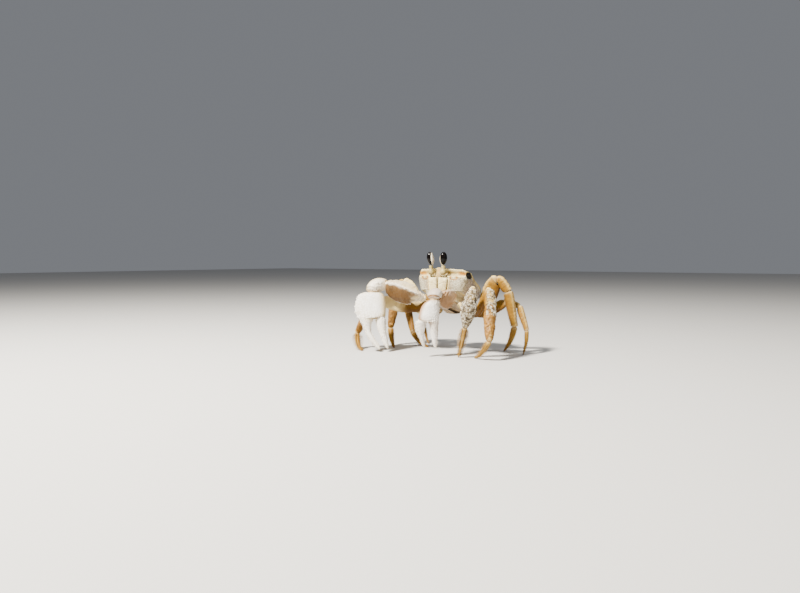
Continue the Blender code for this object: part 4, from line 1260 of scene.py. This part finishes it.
def sand_on(name, places, normals, sizes, seed):
    """Loose grains: an eight-sided gem at each place, uneven in its three axes, half sunk."""
    count = len(places)
    chance = np.stack(chances(count, (0.53, 0.19), seed, 6), axis=-1)
    axes = unit(chance[:, :3] - 0.5)
    second = unit(np.cross(axes, chance[:, 3:] - 0.5))
    third = np.cross(axes, second)
    uneven = (0.7 + 0.6 * chance[:, 3:6])[:, :, None]
    gem_axes = np.stack([axes, second, third], axis=1) * uneven * sizes[:, None, None]
    gem = np.array([(1, 0, 0), (-1, 0, 0), (0, 1, 0), (0, -1, 0), (0, 0, 1), (0, 0, -1)], float)
    middle = places[:, None] + normals[:, None] * (0.25 * sizes)[:, None, None]
    points = middle + np.einsum("vk,nkx->nvx", gem, gem_axes)
    faces = np.array([(0, 2, 4), (2, 1, 4), (1, 3, 4), (3, 0, 4), (2, 0, 5), (1, 2, 5), (3, 1, 5), (0, 3, 5)])
    corners = (faces[None] + (np.arange(count) * 6)[:, None, None]).reshape(-1, 3)
    tone = held(0.50 + 0.62 * noise(places, 1.15, seed) + 0.5 * (chance[:, 0] - 0.5))
    return put(name, points.reshape(-1, 3), [corners], SAND_GRAINS, marks={"tone": np.repeat(tone, 6)})


LEG_ROWS = 110
LEG_COLS = 64
# how much paler the merus of these legs is (side, number)
PALE_MERI = {(-1, 3): 0.7, (1, 2): 0.6}


def make_leg(side, word, number):
    """One walking leg: four flattened tubes along one bent path.  Each is lifted along its
    normals: cross wrinkles that fade from the upper edge (noise drawn out round the ring),
    teeth along both edges of the merus, long flutes on the last piece, and fine granules."""
    merus, carpus, propodus, dactyl, depth, thickness = LEG_SIZES[number]
    first, second, third, last_heading = POSES[side][number]
    hip, root = on_body(side, HIPS[number]), world(side, KNEE_ROOTS[side][number])
    knee = root + merus * heading_vector(side, *first)
    wrist = knee + carpus * heading_vector(side, *second)
    ankle = wrist + propodus * heading_vector(side, *third)
    lean = math.degrees(math.asin(ankle[2] / dactyl))
    foot = ankle + dactyl * heading_vector(side, last_heading, -180.0 + lean)
    foot[2] = 0.0
    straight, before = unit(foot - ankle), unit(ankle - wrist)
    outward = before - straight * (before @ straight)
    middle = (ankle + foot) / 2.0 + outward * DACTYL_BOW * np.linalg.norm(foot - ankle)
    path = BentPath([hip, root, knee, wrist, ankle, middle, foot], JOINT_BENDS)
    normal = unit(np.cross(knee - root, foot - knee)) * side
    stops = [0.0, *path.joints[1:4], path.length]
    turns = even_oval(LEG_COLS, 2.3, depth / thickness * 0.7)
    section = oval(turns)
    name = "leg_%s_%d_" % (word, number)
    wrist_profile = (*CARPUS_PROFILE[:2], BRUSH_CARPUS.get(number, CARPUS_PROFILE[2]))
    merus_profile = (MERUS_STATIONS, MERUS_DEPTHS, MERUS_THICKS)
    shares = ("merus", merus_profile), ("carpus", wrist_profile), ("propodus", PROPODUS_PROFILE)
    # the ring's first point is the upper one on the right legs and the lower one on the left
    upper = -side * np.cos(turns)[None, :]
    for k, (part, profile) in enumerate(shares):
        start, end = stops[k] + GAP / 2, stops[k + 1] - GAP / 2
        rows = LEG_ROWS if part == "merus" else 72
        full = sized(profile, depth, thickness)
        grid, share = limb_grid(path, start, end, full, normal, section, rows)
        f = share[:, None]
        length = end - start
        # wrinkles: noise with its cells stretched round the ring
        band = np.stack(np.broadcast_arrays(f * length / 0.75, 1.3 * np.sin(turns), 0.9 * upper), axis=-1)
        wrinkle = noise(band, 1.0, number + 3 * k) * smooth((upper + 0.5) / 0.8)
        edge = np.abs(upper) ** 10
        teeth = held(np.cos(2.0 * np.pi * f * length / 0.85)) ** 2
        grainy = granules(grid, 0.70, number, 0.6)
        # the two short pieces at the leg's root show as seams on the merus
        is_merus = part == "merus"
        seams = (bell(f, 0.10, 0.007) + bell(f, 0.22, 0.007)) * is_merus
        lift = 0.16 * wrinkle + 0.10 * grainy - 0.14 + 0.10 * noise(grid, 2.6, 41 + number)
        if is_merus:
            lift = lift + edge * (0.30 * teeth - 0.05) * smooth((f - 0.30) / 0.1) * smooth((0.98 - f) / 0.05)
            lift = lift + 0.20 * bell(f, 0.965, 0.012) - 0.28 * bell(f, 0.935, 0.016)
            lift = lift - 0.26 * seams + 0.14 * (bell(f, 0.075, 0.014) + bell(f, 0.195, 0.014))
        elif part == "carpus":
            lift = lift - 0.22 * bell(upper, 0.55, 0.10) * bump(f, 0.05, 0.95) + 0.14 * bell(f, 0.95, 0.03)
        else:
            lift = lift - 0.20 * bell(np.abs(np.sin(turns))[None, :], 0.86, 0.10) * bump(f, 0.02, 0.98)
            lift = lift + 0.12 * bell(f, 0.96, 0.02)
        lift = lift * np.clip(np.minimum(f, 1.0 - f) * length / 0.5, 0.1, 1.0)
        # the first right leg's merus has a painted shadow at the root, and beyond it is paler, partly its own
        # cream and partly painted sunlight
        shadow_then_pale = is_merus and (side, number) == (-1, 2)
        marks = {
            "upper": upper,
            "along": f,
            # painted shade in wrinkles and between grains, darker seams, and the painted shadow at the first
            # right leg's merus root
            "shade_and_seams": held(held(-0.9 * wrinkle) * 0.6
                           + 0.5 * held(0.4 - grainy) + seams
                           + shadow_then_pale * 1.3 * smooth((0.62 + 0.10 * wrinkle - f) / 0.34)),
            # pale joint ends, a painted highlight along the top edge, and painted sunlight on the first right
            # leg's merus beyond its root
            "pale": held(0.4 * bell(f, 1.0, 0.05) + 0.3 * bell(f, 0.0, 0.05)
                         + 0.30 * smooth((upper - 0.5) / 0.4)
                         + shadow_then_pale * 1.2 * smooth((f - 0.42 + 0.10 * wrinkle) / 0.34)
                         + is_merus * PALE_MERI.get((side, number), 0.0)),
            "dusty": 0.9 if (number == 2 and part == "carpus") else 0.35,
            "tip": 0.0,
        }
        put_lifted(name + part + "_shell", grid, lift, LEGS, name + part, marks)
        if part == "propodus":
            dress_propodus(name, side, number, path, (start, end), full, normal, depth, thickness)
        radius, across = (curve(full[0], full[k], 1.0) for k in (1, 2))
        fit = ((0.0, 1.0), (radius * 0.80, radius * 0.72), (across * 0.74, across * 0.66))
        add_sleeve(name + part + "_skin", path, stops[k + 1], 1.1, fit, normal, oval(even_oval(40)), 26, 0.3,
                   (0.06, 4.0), SKIN)
    make_dactyl(name, number, side, path, (stops[3], stops[4]), depth, thickness, normal, foot)
    return path


def make_dactyl(name, number, side, path, stops, depth, thickness, normal, foot):
    """The last piece: a fluted, tapering tube with a brown tip, ending in its small flat."""
    start, end = stops[0] + GAP / 2, stops[1] - 1.6
    turns = even_oval(LEG_COLS, 2.2, 1.0)
    profile = sized(DACTYL_PROFILE, depth, thickness)
    grid, share = limb_grid(path, start, end, profile, normal, oval(turns), 84, (0.6, 1.0, 0.9, 1.0))
    # the last rings blend into the flat that stands on the floor
    slope = path.at(path.length)[1]
    flat_side = unit(np.array((normal[0], normal[1], 0.0)))
    ahead = np.cross(flat_side, np.array((0.0, 0.0, -1.0)))
    stretch = min(1.5, 1.0 / max(0.3, abs(slope[2])))
    up, out = oval(turns)
    pad = foot + (up * FOOT_HALF_WIDTH * stretch)[:, None] * ahead
    pad = pad + (out * FOOT_HALF_WIDTH)[:, None] * flat_side
    mix = smooth(np.linspace(0.0, 1.0, 14))[1:, None, None]
    line = np.linspace(0.0, 1.0, 14)[1:, None, None]
    last = grid[-1].mean(axis=0)
    shape = (grid[-1] - last) * (1.0 - mix) + (pad - foot) * mix
    tail = last + (foot - last) * line + shape
    grid = np.concatenate([grid, tail])
    f = np.concatenate([share * HORN_END, HORN_END + 0.07 * line[:, 0, 0]])[:, None]
    normals = ring_normals(grid)
    flutes = 0.5 + 0.5 * np.cos(6.0 * turns)[None, :]
    room = held(1.0 - f)
    lift = -0.20 * room * flutes * smooth(f / 0.12)
    lift = lift + 0.05 * granules(grid, 0.5, number + 40, 0.6) * room - 0.05 * room
    # upper: the same painted highlight on top and painted shade below; the flutes get painted shade
    marks = {
        "upper": 0.2 + 0.6 * -side * np.cos(turns)[None, :],
        "along": f,
        "pale": 0.3 * bell(f, 0.0, 0.06),
        "shade_and_seams": 0.35 * flutes,
        "dusty": 0.5,
        "tip": smooth((f - HORN_END) / 0.05) * 0.85,
    }
    grid = grid + normals * lift[..., None]
    grid[..., 2] = np.maximum(grid[..., 2], 0.0)
    put_rings(name + "dactyl_horn", grid, LEGS, [name + "dactyl"], marks)
    # rows of bristles down both edges and one down each face
    share_rows, chance = scattered(BRISTLE_COUNTS[number], number + 10 * (side + 2))
    rows = 0.04 + 0.80 * share_rows
    lines = np.round(chance * 6.0) / 6.0 + 0.012 * np.sin(chance * 900.0)
    spots, ways = surface_spots(grid, normals, rows, lines)
    down = unit(foot - grid[0].mean(axis=0))
    lengths = BRISTLE_LENGTHS[number] * (0.4 + 0.6 * bump(rows, -0.25, 1.0))
    lengths = lengths * (1.0 + 0.6 * (number == 2) * smooth((0.5 - rows) / 0.4))
    fall = np.clip(0.3 - unit(ways * 0.8 + down * 0.7)[:, 2], 0.2, None)
    lengths = np.minimum(lengths, np.maximum(0.25, (spots[:, 2] - 0.3) / fall))
    put_hairs(name + "dactyl_bristles", spots - ways * 0.1, ways * 0.8 + down * 0.7, lengths, 0.06, BRISTLES,
              down * 0.25, number + 50 + side, rows, lines)


def add_felt(name, grid, normals, finish, count, seed, down, length):
    """A felted coat on a grid: a lumpy body (three sizes of noise) thick with short hairs."""
    lumps = 0.30 * noise(grid, 2.1, 60 + seed) + 0.26 * noise(grid, 0.95, 61 + seed)
    lumps = lumps + 0.16 * noise(grid, 0.45, 62)
    grid = grid + normals * lumps[..., None]
    put_rings(name + "_felt", grid, finish, marks={"along": held(0.5 + 1.2 * lumps)})
    rows, chance = scattered(count, 70 + seed)
    spots, ways = surface_spots(grid, normals, 0.02 + 0.96 * rows, chance)
    put_hairs(name + "_hairs", spots - ways * 0.15, ways * 0.55 + down, np.full(count, length), 0.075, finish,
              ways * -0.1, seed + 63, rows, chance)
    return grid


def add_crust(name, grid, normals, count, seed, low, high, turn, spread):
    """Sand stuck on a grid between two shares of its length, within a spread of ring angle."""
    rows, chance = scattered(count, seed)
    rows = low + (high - low) * rows
    spots, ways = surface_spots(grid, normals, rows, turn + spread * (chance - 0.5))
    kept = noise(spots, 1.6, seed) > -0.35
    spots, ways = spots[kept], ways[kept]
    sizes = 0.17 + 0.26 * lattice(spots * 9.0, 5.0) ** 2
    sand_on(name, spots + ways * 0.16, ways, sizes, seed + 7)


def dress_propodus(name, side, number, path, span, profile, normal, depth, thickness):
    """Bristles along the edges.  The first two legs carry a felted brush that fills the
    outline of the propodus; on the left ones sand clings to it and to the carpus above."""
    start, end = span
    turns = even_oval(72, 2.3, 1.2)
    down = path.at((start + end) / 2)[1]
    if number in BRUSH_SHARES:
        shares = np.array(BRUSH_SHARES[number]) * thickness / 2.0
        depths = np.array(PROPODUS_PROFILE[1]) * depth / 2.0
        full = (PROPODUS_PROFILE[0], depths * np.array((1.02, 1.04, 1.02, 0.96)), shares - 0.30)
        ends = (0.8, 0.5, 2.2, 2.4)
        grid = limb_grid(path, start + 0.1, end - 0.3, full, normal, oval(turns, 2.1), 120, ends)[0]
        normals = ring_normals(grid)
        felt = FELT if side > 0 and number == 2 else GOLD_FELT
        grid = add_felt(name + "brush", grid, normals, felt, BRUSH_HAIRS[number], number, down, 0.95)
        if side > 0:
            reach = (0.0, 0.93, 0.0, 1.0) if number == 2 else (0.0, 0.36, 0.38, 0.5)
            add_crust(name + "brush_sand", grid, normals, BRUSH_GRAINS[number], 90 + number, *reach)
            piece = sized((*CARPUS_PROFILE[:2], BRUSH_CARPUS[number]), depth, thickness)
            piece = (piece[0], piece[1] + 0.05, piece[2] + 0.05)
            first, last = path.joints[1] + 0.2, path.joints[2] - 0.2
            above = limb_grid(path, first, last, piece, normal, oval(turns, 2.2), 70)[0]
            reach = (0.25, 1.0, 0.38, 1.0) if number == 2 else (0.15, 1.0, 0.38, 0.5)
            grains = CARPUS_GRAINS[number]
            add_crust(name + "carpus_sand", above, ring_normals(above), grains, 95 + number, *reach)
        return
    grid = limb_grid(path, start, end, profile, normal, oval(turns), 80)[0]
    normals = ring_normals(grid)
    rows, chance = scattered(EDGE_BRISTLES, 80 + number)
    lines = np.where(chance > 0.5, 0.0, 0.5) + 0.015 * np.sin(chance * 700.0)
    spots, ways = surface_spots(grid, normals, 0.05 + 0.9 * rows, lines)
    lengths = np.full(EDGE_BRISTLES, 1.1)
    put_hairs(name + "propodus_bristles", spots - ways * 0.1, ways * 0.7 + down * 0.8, lengths, 0.055,
              BRISTLES, down * 0.2, number + 64, rows, lines)


# ---------------------------------------------------------------- claws
def turning_curve(start, leaving, end, arriving):
    """Points after start on the cubic that leaves and arrives in the given directions."""
    t = np.linspace(0.0, 1.0, 40)[1:, None]
    pull = ARM_PULL * np.linalg.norm(end - start)
    ends = start * (1 + 2 * t) * (1 - t) ** 2 + end * t * t * (3 - 2 * t)
    return ends + pull * (leaving * t * (1 - t) ** 2 - arriving * t * t * (1 - t))


def claw_surface(start, down, stations, turns, rows, squareness, rim_at, rim_side):
    """The surface of a palm or finger: s, low, high and thickness are curves of the way
    along the stations' own outline; each ring is an oval from low to high.  Returns the grid and
    the rings' s."""
    table = np.array(stations)
    far = lengths_along(table[:, :3])
    t = np.linspace(0.0, far[-1], rows)
    s, low, high, thick = (curve(far, table[:, k], t) for k in range(4))
    near_tip = np.sqrt(np.clip((far[-1] - t) / 1.2, 0.04, 1.0))
    near_root = np.sqrt(np.clip(t, 0.2, 1.0))
    close = near_tip * near_root
    face = unit(np.cross(down, ACROSS))
    up, out = oval(turns, squareness)
    middle, half = (low + high) / 2.0, (high - low) / 2.0 * close
    line = (start + down * s[:, None])[:, None]
    grid = line + (middle[:, None] + half[:, None] * up)[..., None] * ACROSS
    grid = grid + ((thick * close)[:, None] * out)[..., None] * face
    # the rim over the free finger hangs down as a rounded lobe on each face
    lobe = 1.2 * bell(s, rim_at, 1.5)[:, None] * (1.0 - up ** 2) * smooth((rim_side * up + 0.4) / 0.5)
    grid = grid + lobe[..., None] * down
    return grid, s


def tooth_row(s, pitch, seed):
    """Rounded teeth along s, of uneven height: raised cosines, each times its cell's number."""
    phase = s / pitch + 0.25 * np.sin(s * 1.7 + seed)
    cell = np.floor(phase)
    height = 0.45 + 0.75 * lattice(np.stack([cell, cell * 0.3, cell * 0.7], axis=-1), seed)
    return (0.5 - 0.5 * np.cos(2.0 * np.pi * (phase - cell))) ** 0.8 * height


def make_cheliped(claw):
    """A claw limb: a three-edged merus with toothed edges, a domed carpus with an inner
    spine, the palm with its fixed finger, and the free finger.  All are lifted along their
    normals by granules that grow towards the outer edges, and by rows of teeth."""
    side, word, size = claw["side"], claw["word"], claw["size"]
    down = unit(np.array(claw["down"]))
    hip = on_body(side, claw["hip"])
    root, elbow, wrist = (world(side, claw[key]) for key in ("root", "elbow", "wrist"))
    outward = unit(elbow - root)
    arm = turning_curve(elbow, outward, wrist, down)
    path = BentPath([hip, root, elbow], [4.6], [*arm, wrist + down * PALM_TUCK])
    name = "claw_%s_" % word
    finish = CLAW_MAJOR if side < 0 else CLAW_MINOR
    ridge = unit(np.array(claw["ridge"]))
    normal = unit(np.cross(outward, ridge))
    elbow_at, wrist_at = path.joints[1], path.length - PALM_TUCK

    # the merus
    turns = ring_angles(112)
    section = (np.cos(turns) + 0.2 * np.cos(2.0 * turns), np.sin(turns) - 0.2 * np.sin(2.0 * turns))
    profile = (CLAW_MERUS_STATIONS, np.array(CLAW_MERUS_DEPTHS) * size, np.array(CLAW_MERUS_THICKS) * size)
    ends = (0.5, 0.5, 1.0, 1.2)
    grid, share = limb_grid(path, GAP / 2, elbow_at - GAP / 2, profile, normal, section, 190, ends)
    f = share[:, None]
    length = elbow_at
    corners = [ring_bell(turns, m, 0.10) for m in CLAW_EDGES]
    wide_corners = [ring_bell(turns, m, 0.22) for m in CLAW_EDGES]
    body = smooth((f - 0.22) / 0.1) * smooth((0.95 - f) / 0.05)
    teeth = tooth_row(f * length / size, 1.7, 3 + side) * size
    lift = sum(c * ((0.80 if side < 0 else 0.50) * teeth + 0.05) for c in corners) * body
    rugged = granules(grid, 0.85 * size, 7, 0.6)
    lift = lift + 0.16 * rugged * (0.35 + 0.65 * sum(wide_corners))
    wrapped = f * length / (1.3 * size), 1.1 * np.sin(turns), 1.1 * np.cos(turns)
    band = np.stack(np.broadcast_arrays(*wrapped), axis=-1)
    lift = lift + 0.22 * size * noise(band, 1.0, 5) * (1.0 - 0.6 * sum(wide_corners))
    lift = lift + 0.30 * bell(f, 0.965, 0.012) - 0.30 * bell(f, 0.925, 0.016) - 0.15
    seams = bell(f, 0.08, 0.008) + bell(f, 0.17, 0.008)
    lift = lift - 0.34 * size * seams + 0.16 * size * (bell(f, 0.06, 0.014) + bell(f, 0.148, 0.014))
    inner_face = held(1.0 - np.abs(turn_gap(turns, side * SHADE_ANGLE)) / 1.10)[None]
    marks = {
        # painted shade, brown, over the merus's inner face
        "shade": smooth(inner_face * 3.4 + 0.5 * noise(grid, 1.5, 12))
                 * smooth((f - 0.21 + 0.05 * noise(grid, 1.8, 16)) / 0.14) * smooth((0.97 - f) / 0.03),
        # pink-cream over the merus away from its edges; on the minor claw this darker tan is painted shade
        "warmth_and_shade": held((0.75 if side < 0 else 0.95) - 0.5 * sum(wide_corners) + 0.3 * noise(grid, 4.0, 14)),
        # painted shade between the granules, painted shadows between the edge teeth, and darker seams
        "shade_and_seams": held(held(0.7 - rugged) * (1.0 - 0.5 * inner_face) + seams
                       + 2.0 * sum(corners) * smooth((0.60 - teeth / size) / 0.3) * body),
        "speckled": 0.6,
    }
    put_lifted(name + "merus_shell", grid, lift, finish, name + "merus", marks)

    # the carpus
    hinge = unit(np.cross(outward, down))
    turns = ring_angles(96)
    spots, depths, thicks = (np.array(row) for row in CLAW_CARPUS_PROFILE)
    profile = (spots, depths * size, thicks * size)
    first, last = elbow_at + GAP / 2, wrist_at - GAP / 2
    grid, share = limb_grid(path, first, last, profile, hinge, oval(turns, 2.1), 110, (0.55, 0.6, 1.1, 1.1))
    f = share[:, None]
    outer = np.cos(turns)[None]
    rugged = granules(grid, 1.05 * size, 9, 0.58)
    lift = 0.24 * size * rugged * (0.4 + 0.6 * held(outer))
    for m in (0.9, -0.9):
        spines = 0.22 + 0.30 * tooth_row(f * 16.0, 1.1, 2.0)
        lift = lift + ring_bell(turns, m, 0.14) * spines * size * bump(f, 0.02, 0.98)
    lift = lift - 0.30 * size * bell(f, 0.90, 0.02) + 0.18 * size * bell(f, 0.95, 0.018)
    lift = lift - 0.15 + 0.10 * noise(grid, 2.2, 8)
    spine = ring_bell(turns, -side * 1.35, 0.16) * bell(f, 0.62, 0.055)
    lift = lift + (1.0 if side < 0 else 0.4) * size * spine
    # the side turned away is warmer: partly pink, partly painted shade
    warmth_and_shade = 0.35 + 0.35 * smooth(-outer) if side < 0 else 0.30 + 0.25 * smooth(-outer)
    marks = {
        "warmth_and_shade": warmth_and_shade,
        # painted shade on the side turned away and in the groove near the wrist
        "shade": held(0.25 * smooth(-outer) + (0.4 if side < 0 else 1.0) * bell(f, 0.91, 0.035)),
        # painted shade between the granules
        "shade_and_seams": held(0.65 - rugged) * (0.45 if side < 0 else 0.25),
        "speckled": 0.35,
    }
    put_lifted(name + "carpus_shell", grid, lift, finish, name + "carpus", marks)

    # the soft skin at both joints
    skin_fit = ((0.0, 1.0), (3.3 * size, 3.3 * size), (3.4 * size, 3.4 * size))
    for joint, middle, reach in (("elbow", elbow_at, 1.6), ("wrist", wrist_at, 1.4)):
        add_sleeve(name + joint + "_skin", path, middle, reach * size, skin_fit, hinge,
                   oval(ring_angles(64), 2.0), 36, 0.4, (0.05, 5.0), CLAW_SKIN)

    # the palm with its fixed finger, then the free finger
    start = wrist + down * 1.5 * GAP
    turns = even_oval(128, 2.3, 1.9)
    finger_at, cut = claw["finger_at"], -claw["finger_cut_side"]
    grid, s = claw_surface(start, down, claw["palm"], turns, 240, 2.3, finger_at - 0.5, cut)
    lift, marks = claw_lift(grid, s, turns, cut, finger_at, size, 13)
    put_lifted(name + "palm_shell", grid, lift, finish, name + "palm", marks)
    turns = even_oval(88, 2.2, 1.1)
    table = np.array(claw["finger"])
    knuckle = table[:1] + np.array((-1.9, 0.9, -0.9, -0.7))
    grid, s = claw_surface(start, down, np.vstack([knuckle, table]), turns, 180, 2.2, -9.0, 1.0)
    lift, marks = claw_lift(grid, s, turns, -cut, finger_at - 6.0, size, 19)
    put_lifted(name + "finger_shell", grid, lift, finish, name + "finger", marks)


def claw_lift(grid, s, turns, cut, finger_at, size, seed):
    """Lift and marks of a palm or finger: granules that coarsen towards the outer edge, a
    saw edge there, teeth on the cutting edge, and two shallow flutes down each finger."""
    edge_up = np.cos(turns)[None]
    along = s[:, None]
    tip = s[-1]
    on_finger = smooth((along - finger_at) / 2.0)
    outer = held(-cut * edge_up)
    coarse = granules(grid, 1.15 * size + 0.1, seed, 0.54)
    fine = granules(grid, 0.60 * size + 0.1, seed + 4, 0.6)
    rough = 0.25 + 0.75 * np.maximum(outer, smooth((along / finger_at - 0.75) / 0.3) * (1.0 - on_finger))
    lift = 0.36 * coarse * rough * (1.0 - 0.45 * on_finger) + 0.10 * fine
    saw = tooth_row(along, 1.9 * size, seed + 5)
    lift = lift + (0.80 * saw + 0.05) * size * outer ** 18 * smooth((tip - along) / 5.0) * smooth(along / 2.0)
    biting = held(cut * edge_up) ** 26
    shrink = smooth((tip - along) / 3.0) * smooth((along - finger_at - 0.6) / 1.6)
    lift = lift + 0.95 * size * tooth_row(along, 1.35 * size, seed) * biting * shrink
    flute = bell(np.abs(np.sin(turns))[None], 0.90, 0.05)
    lift = lift - 0.16 * size * flute * on_finger * smooth((tip - along) / 4.0)
    lift = lift - 0.12 * size * (1.0 - on_finger) * bell(edge_up, 0.15, 0.14) * bump(along, 1.0, finger_at)
    lift = lift - 0.12 + 0.10 * noise(grid, 3.4 * size, seed) * (1.0 - on_finger)
    hold = np.clip((tip - along) / 1.2, 0.1, 1.0)
    inner_edge = held(cut * edge_up)
    marks = {
        # pink near the wrist and on the finger, and painted shade in tan along the inner edge and at the free
        # finger's root
        "warmth_and_shade": held(0.45 * smooth((2.5 - along) / 2.5) + 0.15 * on_finger
                     + 0.95 * smooth((inner_edge - 0.45) / 0.5) * (1.0 - on_finger)
                     + 0.55 * bell(along, finger_at + 1.5, 2.6) * smooth(0.5 + 0.5 * cut * edge_up)),
        "speckled": held(0.9 * on_finger + 0.8 * rough - 0.5),
        # painted shade between the granules and in the notch at the free finger's root
        "shade_and_seams": held(held(0.7 - coarse) * (0.25 + rough) * 0.9
                       + 1.8 * smooth((inner_edge - 0.1) / 0.3) * bell(along, finger_at - 0.3, 0.7)),
        "tip": 0.4 * smooth((along - tip + 3.0) / 3.0) + 0.4 * biting * shrink,
    }
    return lift * hold, marks


# ---------------------------------------------------------------- everything
make_carapace()
make_inner_skin()
make_sternum()
make_abdomen()
for side, word in ((1, "left"), (-1, "right")):
    make_maxilliped(side, word)
    make_eye(side, word)
    for name, (stops, radii, beads) in FEELERS.items():
        make_feeler(name + word, side, stops, radii, beads)
    for number in LEG_NUMBERS:
        make_leg(side, word, number)
make_cheliped(MAJOR)
make_cheliped(MINOR)

# ---------------------------------------------------------------- floor, light and view
floor = bpy.data.materials.new("plain_floor")
floor.use_nodes = True
floor_inputs = floor.node_tree.nodes["Principled BSDF"].inputs
floor_inputs["Base Color"].default_value = (0.52, 0.51, 0.49, 1.0)
floor_inputs["Roughness"].default_value = 0.85
mesh = bpy.data.meshes.new("pale_floor")
FLOOR_REACH = 3.0
floor_corners = [(x * FLOOR_REACH, y * FLOOR_REACH, 0) for x, y in ((-1, -1), (1, -1), (1, 1), (-1, 1))]
mesh.from_pydata(floor_corners, [], [(0, 1, 2, 3)])
mesh.materials.append(floor)
ground = stand("pale_floor", mesh)

LAMP_AIM = (0.0, 0.0, 0.03)
world_light = bpy.data.worlds.new("studio")
world_light.use_nodes = True
sky_inputs = world_light.node_tree.nodes["Background"].inputs
sky_inputs["Color"].default_value = (0.88, 0.92, 1.0, 1.0)
sky_inputs["Strength"].default_value = 0.22
bpy.context.scene.world = world_light


def add_area(name, place, width, power, colour):
    """A square lamp at a place, turned to the crab by the two angles of the line to it."""
    lamp = bpy.data.lights.new(name, "AREA")
    lamp.size = width
    lamp.energy = power
    lamp.color = colour
    thing = stand(name, lamp)
    thing.location = place
    way = np.array(LAMP_AIM) - np.array(place)
    tilt, turn = math.atan2(math.hypot(way[0], way[1]), -way[2]), math.atan2(way[1], way[0])
    thing.rotation_euler = (tilt, 0.0, turn - math.pi / 2.0)


add_area("key", (-0.16, -0.52, 0.66), 0.12, 40.0, (1.0, 0.95, 0.86))
add_area("fill", (0.70, -0.15, 0.35), 0.60, 0.8, (0.93, 0.96, 1.0))
add_area("top", (-0.10, 0.10, 0.80), 0.50, 2.0, (1.0, 0.98, 0.95))

lens = bpy.data.cameras.new("view")
lens.lens = 32.4
lens.sensor_width = 36.0
lens.clip_start = 0.01
eye = stand("view", lens)
eye.location = (0.283384, -0.457560, 0.0698)
eye.rotation_euler = (math.radians(86.9), 0.0, math.radians(35.0))
bpy.context.scene.camera = eye
